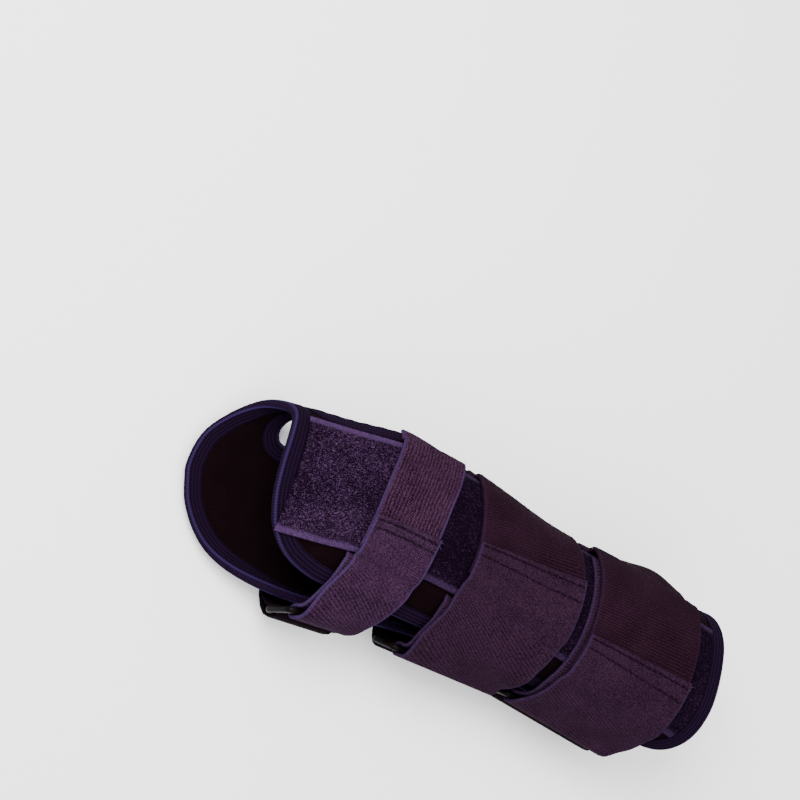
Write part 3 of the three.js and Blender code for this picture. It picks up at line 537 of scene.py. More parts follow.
class Finish:
    # One material, with the nodes that make its colour and its relief

    def __init__(self, name, **sockets):
        self.material = bpy.data.materials.new(name)
        self.material.use_nodes = True
        self.tree = self.material.node_tree
        self.shader = next(n for n in self.tree.nodes if n.type == "BSDF_PRINCIPLED")
        for key, value in sockets.items():
            self.shader.inputs[key.replace("_", " ")].default_value = value

    def node(self, kind, settings=None, inputs=None, output=0):
        # Any node by its type, its settings, and the values or links of its sockets
        made = self.tree.nodes.new(kind)
        for key, value in (settings or {}).items():
            setattr(made, key, value)
        for key, value in (inputs or {}).items():
            self.give(made.inputs[key], value)
        return Number(self, made.outputs[output])

    def give(self, socket, value):
        if isinstance(value, Number):
            self.tree.links.new(value.socket, socket)
        else:
            socket.default_value = value

    def math(self, operation, a, b=0.0, limit=False):
        settings = {"operation": operation, "use_clamp": limit}
        return self.node("ShaderNodeMath", settings, {0: a, 1: b})

    def sine(self, value):
        return self.math("SINE", value)

    def clamp(self, value):
        return self.math("ADD", value, 0.0, True)

    def between(self, value, low, high):
        inputs = {"Value": value, "From Min": low, "From Max": high}
        return self.node("ShaderNodeMapRange", {"interpolation_type": "SMOOTHSTEP"}, inputs)

    def mixColours(self, share, a, b):
        return self.node("ShaderNodeMix", {"data_type": "RGBA"}, {0: share, 6: a, 7: b}, 2)

    def turns(self, distance, step):
        # Angle that makes a full turn every step
        return distance * (2 * math.pi / step)

    def crossed(self, along, across, steps, wobble):
        # Two slanted waves multiplied into a twill, 0 to 1
        a, b = self.turns(along, steps[0]), self.turns(across, steps[1])
        return self.sine(a + b + wobble) * self.sine(a - b + wobble) * 0.5 + 0.5

    def noise(self, place, scale, detail=3.0, roughness=0.5):
        inputs = {"Vector": place, "Scale": scale, "Detail": detail, "Roughness": roughness}
        return self.node("ShaderNodeTexNoise", {}, inputs)

    def objectPlace(self):
        return self.node("ShaderNodeTexCoord", output=3)

    def clothPlace(self):
        return self.node("ShaderNodeAttribute", {"attribute_name": "cloth"}, output=1)

    def apart(self, place):
        first = self.node("ShaderNodeSeparateXYZ", {}, {0: place})
        return [Number(self, out) for out in first.socket.node.outputs]

    def bump(self, height, depth):
        inputs = {"Height": height, "Distance": depth, "Strength": 1.0}
        return self.node("ShaderNodeBump", {}, inputs)

    def finish(self, colour, normal=None):
        self.give(self.shader.inputs["Base Color"], colour)
        if normal is not None:
            self.give(self.shader.inputs["Normal"], normal)
        return self.material


def shade(red, green, blue):
    # Linear colour of a shade given in 0 to 255 steps
    channels = [v / 255 for v in (red, green, blue)]
    linear = [v / 12.92 if v <= 0.04045 else ((v + 0.055) / 1.055) ** 2.4 for v in channels]
    return (*linear, 1.0)


def wear(piece, material, slotName, *nodes):
    # Gives a piece its material, and hides the solids of the model that it stands for; the slot name
    # is not used
    piece.data.materials.clear()
    piece.data.materials.append(material)
    if nodes:
        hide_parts(*nodes)
    return piece


# Shades at the bottom of the weave, on its threads and on its selvedge (on the binding, a painted
# highlight along its fold), and the relief
cloths = {
    # The wide straps' shades are darker than the narrow strap's: painted shade, for the light falling
    # off towards the elbow
    "narrow elastic": (shade(14, 5, 15), shade(57, 34, 57), shade(50, 37, 70), 0.00022),
    "wide elastic": (shade(13, 4, 12), shade(47, 27, 45), shade(38, 25, 50), 0.00022),
    "narrow tab": (shade(10, 2, 8), shade(60, 36, 57), shade(48, 34, 66), 0.00022),
    "wide tab": (shade(8, 2, 6), shade(41, 20, 34), shade(36, 20, 42), 0.00018),
    "pile": (shade(7, 1, 10), shade(73, 48, 80), shade(61, 42, 74), 0.0004),
    "binding": (shade(5, 1, 7), shade(26, 14, 34), shade(42, 31, 68), 0.00022),
    "webbing": (shade(6, 2, 4), shade(20, 10, 18), shade(30, 18, 34), 0.0002),
    "wrap": (shade(4, 1, 2), shade(17, 6, 9), shade(14, 5, 8), 0.0002),
}

# Steps of the weaves, where there are two along and across
weave = {
    "twill": (0.0016, 0.0014),
    "slantRibs": (0.0014, 0.0058),
    "ribDots": 0.0011,
    "ribsFrom": 0.016,  # from the sewn end, where the twill turns into ribs
    "ribsFull": 0.034,
    "stitch": 0.0029,
    "seamEdge": 0.0005,  # from the middle of a stitch row
    "seamCore": 0.00015,
    "tabRows": 0.0012,
    "tabColumns": 0.0014,
    "tabDashes": (0.0009, 0.0028),
    "tapeRibs": 0.0009,
    "tapeRim": 0.003,
    # run over which the loop pile's painted shade sets in
    "shadeRun": 0.008,
    "foldRibs": 0.0011,
    "foldRidges": 0.0014,
    "webbing": (0.0018, 0.0018),
    "wrap": (0.0016, 0.0022),
}


def clothBase(name, kind, parts=(0, 1, 2)):
    # Finish of a cloth, its place on the cloth and the parts of that place which are used
    made = Finish(name, Roughness=0.95, Specular_IOR_Level=0.02)
    place = made.clothPlace()
    axes = made.apart(place)
    return made, place, [axes[k] for k in parts], cloths[kind]


def clothEnd(made, tone, edge, cloth, height):
    # Tone goes from the bottom of the weave to its threads, and edge from there to the selvedge, or on
    # the binding to a painted highlight along its fold
    low, high, rim, relief = cloth
    woven = made.mixColours(tone, low, high)
    woven = made.mixColours(edge, woven, rim)
    return made.finish(woven, made.bump(height, relief))


def elasticCloth(name, kind, seam):
    # Twill near the joint, cross ribs from there on, two stitch rows at the joint
    made, place, (u, v, inset), cloth = clothBase(name, kind)
    wobble = made.noise(place, 500.0, 2.0) - 0.5
    grain = made.noise(place, 1700.0, 3.0, 0.65)
    twill = made.crossed(u, v, weave["twill"], wobble * 2.4)
    dots = made.sine(made.turns(v, weave["ribDots"]) + wobble * 3.0) * 0.15
    along, across = weave["slantRibs"]
    slanted = made.turns(u, along) - made.turns(v, across) + wobble * 3.0
    ribs = made.sine(slanted) * 0.4 + 0.5 + dots
    ribbed = made.between(u, weave["ribsFrom"], weave["ribsFull"]) * 0.85
    woven = twill + (ribs - twill) * ribbed
    rim = made.between(inset, straps["selvedge"] * 1.4, straps["selvedge"] * 0.7)
    dashes = made.between(made.sine(made.turns(v, weave["stitch"]) + wobble * 5.0), -0.75, -0.2)
    lines = []
    for row in seam:
        away = made.math("ABSOLUTE", u + wobble * 0.0012 - row)
        lines.append(made.between(away, weave["seamEdge"], weave["seamCore"]))
    sunk = made.between(made.noise(place, 70.0, 1.0), 0.38, 0.5)
    sewn = lines[0] + lines[1] * (sunk * 0.6 + 0.4)
    sewn = made.clamp(sewn * (dashes * 0.45 + 0.55) * made.between(inset, 0.0006, 0.0014))
    cloudy = made.noise(made.objectPlace(), 90.0, 3.0) - 0.5
    specks = made.between(made.noise(place, 1300.0, 2.0, 0.7), 0.52, 0.68)
    tone = made.clamp(woven * 0.5 + (grain - 0.5) * 2.2 + specks * 0.3 + cloudy * 0.4 + 0.08)
    kept = 1.0 - sewn * 0.88
    height = woven * 0.45 + grain * 0.5 - sewn * 1.4
    return clothEnd(made, tone * kept, rim * (grain * 0.5 + 0.25) * kept, cloth, height)


def wideTabCloth():
    # Fine rows of dots across the strap
    made, place, (u, v, inset), cloth = clothBase("wide hook tab back", "wide tab")
    wobble = made.noise(place, 420.0, 2.0) - 0.5
    grain = made.noise(place, 2200.0, 2.0)
    rows = made.sine(made.turns(u, weave["tabRows"]) + wobble * 2.0) * 0.5 + 0.5
    dots = made.sine(made.turns(v, weave["tabRows"]) + wobble * 2.5) * 0.5 + 0.5
    woven = made.between(rows, 0.2, 0.9) * (dots * 0.6 + 0.4)
    cloudy = made.noise(made.objectPlace(), 80.0, 3.0) - 0.5
    tone = made.clamp(woven * 0.36 + (grain - 0.5) * 2.0 + cloudy * 0.4 + 0.2)
    rim = made.between(inset, 0.0014, 0.0007)
    return clothEnd(made, tone, rim * 0.25, cloth, woven * 0.5 + grain * 0.5)


def narrowTabCloth():
    # Wavy columns of short dashes along the strap
    made, place, (u, v, inset), cloth = clothBase("narrow hook tab back", "narrow tab")
    wobble = made.noise(place, 420.0, 2.0) - 0.5
    grain = made.noise(place, 2200.0, 2.0)
    sway = made.noise(place, 130.0, 2.0) - 0.5
    columns = made.sine(made.turns(v, weave["tabColumns"]) + sway * 6.0 + wobble * 3.0) * 0.5 + 0.5
    along, across = weave["tabDashes"]
    dashes = made.sine(made.turns(u, along) + made.turns(v, across) + wobble * 4.0) * 0.5 + 0.5
    woven = columns * 0.45 + dashes * 0.4
    rim = made.between(inset, 0.0016, 0.0008)
    cloudy = made.noise(made.objectPlace(), 80.0, 3.0) - 0.5
    tone = made.clamp(woven * 0.8 + (grain - 0.5) * 2.4 + cloudy * 0.4 - 0.02)
    return clothEnd(made, tone, rim * 0.45, cloth, woven * 0.8 + grain * 0.4)


def pileCloth():
    # Loops in loose clumps between two woven selvedges, painted darker past the palm strap as shade
    made, place, (u, inset), cloth = clothBase("loop pile", "pile", (0, 2))
    clumps = made.noise(place, 800.0, 3.0, 0.6)
    loops = made.noise(place, 1900.0, 2.0, 0.6)
    clouds = made.noise(made.objectPlace(), 55.0, 3.0) - 0.5
    fuzz = made.between(clumps * 0.45 + loops * 0.55 + clouds * 0.1, 0.44, 0.66)
    ribs = made.sine(made.turns(u, weave["tapeRibs"])) * 0.5 + 0.5
    rimEdge = weave["tapeRim"]
    rim = made.between(inset + (clumps - 0.5) * rimEdge, rimEdge, rimEdge * 0.6)
    # Painted shade: the pile and its selvedges darken past the palm strap
    paintedShade = made.between(u, tape["shadeFrom"], tape["shadeFrom"] + weave["shadeRun"])
    tone = made.clamp(fuzz * 0.6 + (loops - 0.5) * 1.1 + clouds * 0.5) * (1.0 - paintedShade * 0.7)
    height = fuzz * (1.0 - rim) + ribs * rim * 0.3
    edge = rim * (ribs * 0.15 + loops * 0.5 + 0.2) * (1.0 - paintedShade * 0.5)
    return clothEnd(made, tone, edge, cloth, height)


def bindingCloth():
    # Cross ribs on the fold, ridges along both faces, and a painted highlight along the fold
    made, place, (u, depth), cloth = clothBase("ribbed binding", "binding", (0, 1))
    wobble = made.noise(place, 600.0, 2.0) - 0.5
    grain = made.noise(place, 2400.0, 2.0)
    ribs = made.sine(made.turns(u, weave["foldRibs"]) + wobble * 1.5) * 0.5 + 0.5
    ridges = made.sine(made.turns(depth, weave["foldRidges"]) + 1.0) * 0.5 + 0.5
    # Painted highlight: a light line along the roll of the fold
    foldHighlight = made.between(made.math("ABSOLUTE", depth + 0.0004), 0.0006, 0.0001)
    tone = made.clamp(ridges * 0.4 + ribs * 0.15 + (grain - 0.5) * 1.0 + 0.1)
    height = ribs * 0.3 + ridges * 0.6 + grain * 0.3
    return clothEnd(made, tone, foldHighlight * (ribs * 0.3 + 0.4), cloth, height)


def plainCloth(name, kind):
    made, place, (u, v), cloth = clothBase(name, kind, (0, 1))
    wobble = made.noise(place, 500.0, 2.0) - 0.5
    grain = made.noise(place, 2000.0, 3.0, 0.6)
    woven = made.crossed(u, v, weave[kind], wobble * 2.0)
    cloudy = made.noise(made.objectPlace(), 70.0, 3.0) - 0.5
    tone = made.clamp(woven * 0.4 + (grain - 0.5) * 1.2 + cloudy * 0.7 + 0.15)
    return clothEnd(made, tone, 0.0, cloth, woven * 0.5 + grain * 0.8)


elasticFinishes = {}
for key, seam in straps["seam"].items():
    kind = "narrow elastic" if key == "palm" else "wide elastic"
    elasticFinishes[key] = elasticCloth(f"woven elastic {key}", kind, seam)
narrowTabFinish = narrowTabCloth()
wideTabFinish = wideTabCloth()
bindingFinish = bindingCloth()
pileFinish = pileCloth()
webbingFinish = plainCloth("holder webbing", "webbing")
wrapFinish = plainCloth("padded wrap", "wrap")
threadFinish = Finish("thread", Roughness=0.9).finish(shade(74, 56, 80))
plasticFinish = Finish("black plastic", Roughness=0.36, Specular_IOR_Level=0.03).finish(shade(7, 4, 5))
print("finishes ready")

# Padded wrap
padding = {
    "cellsAlong": 240,
    "cellsAround": 300,
    "pressedOuter": 0.0007,  # under the bindings
    "pressedInner": 0.0004,
    "pressedWidth": 0.004,
    "rise": 0.0045,
    "lump": 0.00012,
    "lumpCells": 9.0,
    "seed": 3,
    "bulge": 0.0011,  # between the straps, and its places past the loop tape
    "bulgeFrom": 0.001,
    "bulgeRise": 0.003,
    "bulgeEnd": 0.016,
    "holeCells": 360,
    "edgeSamples": (1800, 500),
}


def wrapPiece():
    # A sheet of cells between the four edges, without those in the thumb hole, as two faces
    nAlong, nAround = padding["cellsAlong"], padding["cellsAround"]
    palm, elbow, back, fingers = outlineEdges(nAlong, nAround)
    u = np.linspace(0, 1, nAlong + 1)[:, None, None]
    v = np.linspace(0, 1, nAround + 1)[None, :, None]
    sides = (1 - v) * palm[:, None] + v * back[:, None]
    ends = (1 - u) * fingers[None, :] + u * elbow[None, :]
    near = (1 - v) * fingers[0] + v * fingers[-1]
    far = (1 - v) * elbow[0] + v * elbow[-1]
    places = sides + ends - (1 - u) * near - u * far
    x, turn = places[..., 0], places[..., 1]
    around = turn * shape.girth(x)
    hole = stretch(closedLine(thumbHole), 0, 1, padding["holeCells"])[:-1]
    inHole = insideLine(x, turn, hole)
    keep = ~(inHole[:-1, :-1] & inHole[1:, :-1] & inHole[:-1, 1:] & inHole[1:, 1:])
    start = padding["pressedWidth"]
    press = 1 - smoothStep(edgeDistance(x, around), start, start + padding["rise"])
    lumps = noiseField(x.shape, padding["lumpCells"], padding["seed"])
    lumps = lumps * padding["lump"] * (1 - press) + strapBulge(x, around)
    outer = shape.point(x, around, form["wall"] - padding["pressedOuter"] * press + lumps)
    inner = shape.point(x, around, padding["pressedInner"] * press)
    count = x.size
    index = np.arange(count).reshape(x.shape)
    a, b = index[:-1, :-1][keep], index[1:, :-1][keep]
    c, d = index[1:, 1:][keep], index[:-1, 1:][keep]
    quads = [np.stack([a, b, c, d], -1), np.stack([d, c, b, a], -1) + count]
    quads.append(rimQuads(index, keep, count))
    quads = np.concatenate(quads)
    used = np.unique(quads)
    renumber = np.full(2 * count, -1)
    renumber[used] = np.arange(len(used))
    points = np.concatenate([outer.reshape(-1, 3), inner.reshape(-1, 3)])[used]
    flat = np.stack([x, around, np.ones_like(x)], -1).reshape(-1, 3)
    cloth = np.concatenate([flat, flat * [1, 1, 0]])[used]
    piece = meshPiece("splint_wrap", points, renumber[quads], cloth)
    return wear(piece, wrapFinish, "wrap", "splint_body")


def strapBulge(x, around):
    # The padding swells in the gaps between the straps, on the thumb side of the loop tape
    past = around - tapeHigh(x)
    start, end, run = padding["bulgeFrom"], padding["bulgeEnd"], padding["bulgeRise"]
    rise = smoothStep(past, start, start + run) * (1 - smoothStep(past, end - run, end))
    total = 0.0
    for near, far in zip(allStraps[:-1], allStraps[1:]):
        low = near.line(around)[0] + near.width / 2
        high = far.line(around)[0] - far.width / 2
        share = np.clip((x - low) / (high - low), 0, 1)
        total = total + (1 - (2 * share - 1) ** 4) * rise
    return total * padding["bulge"]


def edgeDistance(x, around):
    # Distance of each place from the nearest edge of the wrap or of the thumb hole
    counts = padding["edgeSamples"]
    outer = stretch(outlineLine, 0, 1, counts[0])[:-1]
    line = np.concatenate([outer, stretch(closedLine(thumbHole), 0, 1, counts[1])[:-1]])
    tree = KDTree(len(line))
    for k, (lineX, lineTurn) in enumerate(line):
        tree.insert((lineX, lineTurn * float(shape.girth(lineX)), 0), k)
    tree.balance()
    found = [tree.find((a, b, 0))[2] for a, b in zip(x.ravel(), around.ravel())]
    return np.array(found).reshape(x.shape)


def insideLine(x, turn, line):
    # Places that lie inside a closed line, by how often the line crosses beside them
    inside = np.zeros(x.shape, bool)
    px, pt = line[:, 0], line[:, 1]
    for k in range(len(line)):
        x0, t0, x1, t1 = px[k - 1], pt[k - 1], px[k], pt[k]
        crosses = (t0 > turn) != (t1 > turn)
        with np.errstate(divide="ignore", invalid="ignore"):
            at = x0 + (turn - t0) * (x1 - x0) / (t1 - t0)
        inside ^= crosses & (x < at)
    return inside


def rimQuads(index, keep, count):
    # Walls between the two faces wherever a kept cell meets none
    inside = np.pad(keep, 1)
    low, right = index[:-1, :-1], index[1:, :-1]
    up, corner = index[:-1, 1:], index[1:, 1:]
    sides = [
        (inside[:-2, 1:-1], up, low),
        (inside[2:, 1:-1], right, corner),
        (inside[1:-1, :-2], low, right),
        (inside[1:-1, 2:], corner, up),
    ]
    quads = []
    for beside, starts, ends in sides:
        bare = keep & ~beside
        s, e = starts[bare], ends[bare]
        quads.append(np.stack([e, s, s + count, e + count], -1))
    return np.concatenate(quads)


wrap = wrapPiece()
print("wrap built,", len(wrap.data.polygons), "faces")


# Folded bindings
def intoMaterial(places):
    # Direction from each place of an edge into the wrap, along it and round it
    step = np.roll(places, -1, axis=0) - np.roll(places, 1, axis=0)
    dx, dAround = step[:, 0], step[:, 1] * shape.girth(places[:, 0])
    size = np.hypot(dx, dAround)
    return np.stack([-dAround / size, dx / size], axis=-1)


fold = {
    "over": 0.0001,  # above the wall
    "under": 0.0002,
    "ridge": 0.00016,
    "ridges": 4,
    "ridgeBelow": 0.7,  # share of the ridges' height on the inner side
    "roll": 0.0011,  # of the fold past the edge
    "lip": 0.0003,  # fall of the sewn edge
    "lipRun": 0.0006,
    "inset": 0.0002,
    "sunk": 0.0001,  # of the hidden faces, into the padding
    "sway": 0.0001,
    "sways": 23,
    "cellsOver": 16,
    "cellsRound": 14,
    "cellsUnder": 8,
    "edgeCells": 1500,
    "holeCells": 420,
}


def bindingPiece(name, node, places):
    # Section of the tape: over the wrap's edge, round the fold, below it and back inside
    inward = intoMaterial(places)
    width = binding["width"]
    top = form["wall"] + fold["over"]
    bottom = -fold["under"]
    middle, reach = (top + bottom) / 2, (top - bottom) / 2

    def ridge(depth):
        return fold["ridge"] * math.cos(depth / width * fold["ridges"] * 2 * math.pi)

    profile = []
    for depth in np.linspace(width, 0, fold["cellsOver"] + 1):
        lip = fold["lip"] * float(smoothStep(depth, width - fold["lipRun"], width))
        profile.append((depth, top + ridge(depth) - lip))
    for angle in np.linspace(0, math.pi, fold["cellsRound"] + 1)[1:-1]:
        profile.append((-fold["roll"] * math.sin(angle), middle + reach * math.cos(angle)))
    for depth in np.linspace(0, width, fold["cellsUnder"] + 1):
        profile.append((depth, bottom - ridge(depth) * fold["ridgeBelow"]))
    hidden = width - fold["inset"]
    below = padding["pressedInner"] - fold["sunk"]
    above = form["wall"] - padding["pressedOuter"] + fold["sunk"]
    profile += [(hidden, below), (fold["sunk"], below), (fold["sunk"], above), (hidden, above)]
    profile = np.array(profile)
    depth, height = profile[:, 0][None, :], profile[:, 1][None, :]
    girth = shape.girth(places[:, 0])[:, None]
    x = places[:, 0][:, None] + inward[:, 0][:, None] * depth
    turn = places[:, 1][:, None] + inward[:, 1][:, None] * depth / girth
    sway = np.sin(np.arange(len(places)) * 2 * math.pi * fold["sways"] / len(places))
    points = shape.point(x, turn * shape.girth(x), height + sway[:, None] * fold["sway"])
    centre = points[:, fold["cellsOver"] // 2]
    step = np.linalg.norm(np.roll(centre, -1, axis=0) - centre, axis=1)
    length = np.concatenate([[0], np.cumsum(step[:-1])])[:, None]
    cloth = np.stack(np.broadcast_arrays(length, depth, np.ones(x.shape)), -1)
    piece = meshPiece(name, points, tubeQuads(*x.shape, True), cloth)
    return wear(piece, bindingFinish, "binding", node)


firstCorner = cornerShares[0]
outlinePlaces = stretch(outlineLine, firstCorner, 1 + firstCorner, fold["edgeCells"])[:-1]
holePlaces = stretch(closedLine(thumbHole), 0, 1, fold["holeCells"])[:-1]
bindingPiece("edge_tape", "edge_binding", outlinePlaces)
bindingPiece("thumb_edge_tape", "thumb_binding", holePlaces)
print("bindings built")


# Loop tape; the lumps are cells, seed and height
pile = {
    "rows": 420,
    "cell": 0.0005,
    "sunk": 0.0001,
    "loopsFrom": 0.002,
    "loopsFull": 0.003,
    "loops": 0.0002,
    "lumps": ((2.3, 5, 0.00018), (5.0, 6, 0.00012)),
}


def loopTape():
    inset = binding["width"] + 2 * form["gap"]
    inward = intoMaterial(outlinePlaces)
    x = outlinePlaces[:, 0] + inward[:, 0] * inset
    around = outlinePlaces[:, 1] * shape.girth(outlinePlaces[:, 0]) + inward[:, 1] * inset
    width = tape["width"] * form["wristWidth"]

    def elbowEnd(across):
        level = tapeLow(tapeRows[-1, 0] * form["length"]) + across
        nextAround, nextX = np.roll(around, -1), np.roll(x, -1)
        hit = (around - level) * (nextAround - level) <= 0
        at = x[hit] + (nextX - x)[hit] * (level - around[hit]) / (nextAround - around)[hit]
        return at[at > 0].min()

    def palmEnd(share):
        # Straight cut, over the binding at the little-finger corner
        return tape["cutLow"] + (tape["cutHigh"] - tape["cutLow"]) * share

    middleHeight = onWall + tape["thick"] / 2 - pile["sunk"]

    def rowAt(across):
        near = palmEnd(across / width + 0.5)[None, :]
        far = np.array([elbowEnd(a + width / 2) for a in across])[None, :]
        share = np.linspace(0, 1, pile["rows"])[:, None]
        at = near * (1 - share) + far * share
        around = tapeLow(at) + across[None, :] + width / 2
        return shape.point(at, around, np.full(at.shape, middleHeight))

    lengths = rowLengths(rowAt(np.array([0.0]))[:, 0])

    def relief(u, v):
        loops = smoothStep(width / 2 - np.abs(v), pile["loopsFrom"], pile["loopsFull"])
        lumps = sum(noiseField(u.shape, cells, seed) * rise for cells, seed, rise in pile["lumps"])
        return loops * (pile["loops"] + lumps)

    piece = bandPiece("pile_tape", rowAt, lengths, width, tape["thick"], pile["cell"], relief)
    return wear(piece, pileFinish, "pile", "loop_tape")


pileTape = loopTape()
print("loop tape built,", len(pileTape.data.polygons), "faces")


# Straps
def rampSmooth(value, start, end, low, high):
    return low + (high - low) * smoothStep(value, start, end)


def spacedStops(stops, step):
    # The stops and even ones between them, no more than a step apart
    result = [stops[0]]
    for a, b in zip(stops[:-1], stops[1:]):
        count = max(1, int(math.ceil(abs(b - a) / step)))
        result += [a + (b - a) * k / count for k in range(1, count + 1)]
    return np.array(result)


def hairpin(strap, side, across, thick, cells=20, runs=8):
    # Rows round one long bar of the ring, out of the slot and back
    radius = ring["thick"] / 2 + form["gap"] * ring["hugShare"] + thick / 2
    edge = side * (ring["wide"] / 2 + form["gap"])
    turn = side * (ring["wide"] / 2 - ring["bar"] + ring["turnPast"])
    path = [(back, radius) for back in np.linspace(edge, turn, runs)[:-1]]
    for angle in np.linspace(0, math.pi, cells):
        path.append((turn - side * radius * math.sin(angle), radius * math.cos(angle)))
    path += [(back, -radius) for back in np.linspace(turn, edge, runs)[1:]]
    even = np.ones(across.shape)
    return [strap.atRing(across, even * back, even * up) for back, up in path]


# Runs in which an elastic changes its height, its cells, and the ridge and seam at its end
elastic = {
    "layerFall": 0.003,  # down from one layer to the next
    "landingRun": 0.002,  # past the loop tape's edge
    "tabRun": 0.005,  # up to the tab
    "tabPlay": 0.4,  # share of the gap between tab and elastic
    "seamRun": 0.009,  # sewn end, with closer rows
    "seamStep": 0.00035,
    "upperStep": 0.0008,
    "underStep": 0.0012,
    "cell": 0.0012,
    "ridge": 0.0003,  # height of the cut end
    "ridgeRun": 0.0007,
    "stitch": 0.0003,  # depth of the stitch rows
    "stitchRun": 0.0006,
}


def elasticPiece(strap):
    thick = straps["elastic"]
    half = thick / 2
    full = strap.underEnd is not None
    lift = layerStep if full else 0.0
    onTab = onTape + lift + straps["tab"] + form["gap"] * elastic["tabPlay"]
    onUnder = onBinding + layerStep
    rough = float(edgeAround(palmEdge, strap.ringX))
    pastRing = strap.around + ring["wide"] - ring["bar"] + 3 * form["gap"]
    edge = max(rough - strap.slant(rough) - 2 * binding["thick"], pastRing)
    beside = strap.low - strap.slant(strap.low) - 4 * form["gap"]
    landing = beside - elastic["layerFall"]
    landed = beside + elastic["landingRun"]
    tabFoot = strap.overlapEnd - 2 * form["gap"]
    tabRun = tabFoot - elastic["tabRun"]

    def upperHeight(around):
        onFlap = rampSmooth(around, landing - form["gap"], landed, onUnder, onTape + lift)
        onEnd = rampSmooth(around, tabRun, tabFoot, onTape + lift, onTab)
        return np.maximum(onFlap, onEnd)

    def underHeight(around):
        return rampSmooth(around, landing, beside, onBinding, onTape if full else onWall)

    underEnd = strap.underEnd if full else beside
    seam = strap.joint - elastic["seamRun"]
    upper = np.concatenate([
        spacedStops([strap.joint, seam], elastic["seamStep"]),
        spacedStops([seam, edge + binding["width"] / 4], elastic["upperStep"])[1:],
    ])
    underStops = [edge, landing, beside, underEnd] if full else [edge, landing, beside]
    under = spacedStops(underStops, elastic["underStep"])

    def rowAt(across):
        even = np.ones(across.shape)
        rows = [strap.row(a, across, even * (float(upperHeight(a)) + half)) for a in upper]
        pin = hairpin(strap, -1, across, thick)
        rows += blendRows(rows[-1], pin[0], rows[-2], pin[1], 6)
        rows += pin
        below = []
        for a in under:
            shift = -straps["underShift"] * float(smoothStep(a, edge, landing))
            below.append(strap.row(a, across + shift, even * (float(underHeight(a)) + half)))
        rows += blendRows(pin[-1], below[0], pin[-2], below[1], 4)
        return np.array(rows + below)

    lengths = rowLengths(rowAt(np.array([0.0]))[:, 0])

    def relief(u, v):
        # The sewn end stands up in a ridge, and its two stitch rows sink in
        run = elastic["ridgeRun"]
        rise = elastic["ridge"] * np.exp(-(((u - run) / run) ** 2))
        for row in straps["seam"][strap.name]:
            rise = rise - elastic["stitch"] * np.exp(-(((u - row) / elastic["stitchRun"]) ** 2))
        return rise

    name = f"elastic_{strap.name}"
    piece = bandPiece(name, rowAt, lengths, strap.width, thick, elastic["cell"], relief)
    look = elasticFinishes[strap.name]
    return wear(piece, look, "elastic", f"strap_{strap.name}_elastic")


def blendRows(last, first, beforeLast, afterFirst, count):
    # Rows that carry one run of a band smoothly into the next
    span = np.linalg.norm(first - last, axis=-1, keepdims=True)
    out = last - beforeLast
    into = afterFirst - first
    out = out / np.linalg.norm(out, axis=-1, keepdims=True) * span
    into = into / np.linalg.norm(into, axis=-1, keepdims=True) * span
    rows = []
    for t in np.linspace(0, 1, count + 2)[1:-1]:
        u = 1 - t
        middle = last * u * u * (1 + 2 * t) + first * t * t * (3 - 2 * t)
        rows.append(middle + out * t * u * u - into * t * t * u)
    return rows


def tabPiece(strap):
    thick = straps["tab"]
    start = strap.overlapEnd
    full = strap.underEnd is not None
    lift = layerStep if full else 0.0
    underEnd = strap.underEnd if full else 0.0
    leave = underEnd + strap.slant(underEnd) + 2 * form["gap"]

    def height(around, across):
        landed = leave + elastic["layerFall"]
        base = rampSmooth(around, leave, landed, onTape + lift, onTape) if full else onTape
        x, dx, dAround = strap.line(around)
        beside = around + dAround * across - tapeHigh(x + dx * across)
        return base - rampSmooth(beside, form["gap"], straps["tabFall"], 0, straps["tabDrop"])

    def wave(around, across):
        # Lift of the loose end over the width: corner, dip and bulge
        if not strap.wave:
            return 0.0
        rise = float(smoothStep(around, strap.tabEnd - straps["waveRun"], strap.tabEnd))
        return smoothTable(np.array(strap.wave), 1, across / strap.width) * rise

    stops = spacedStops([start, strap.tabEnd], elastic["upperStep"])

    def rowAt(across):
        even = np.full(across.shape, thick / 2)
        high = [even + height(a, across) + wave(a, across) for a in stops]
        return np.array([strap.row(a, across, h) for a, h in zip(stops, high)])

    lengths = rowLengths(rowAt(np.array([0.0]))[:, 0])
    piece = bandPiece(f"tab_{strap.name}", rowAt, lengths, strap.width, thick, elastic["cell"])
    look = narrowTabFinish if strap is palmStrap else wideTabFinish
    return wear(piece, look, "tab", f"strap_{strap.name}_tab")


# Cells and rounding of the ring holders, and the turn past which the edge is the back flap's
webbing = {"step": 0.0012, "cell": 0.0015, "round": 0.0004, "backFrom": 0.6}


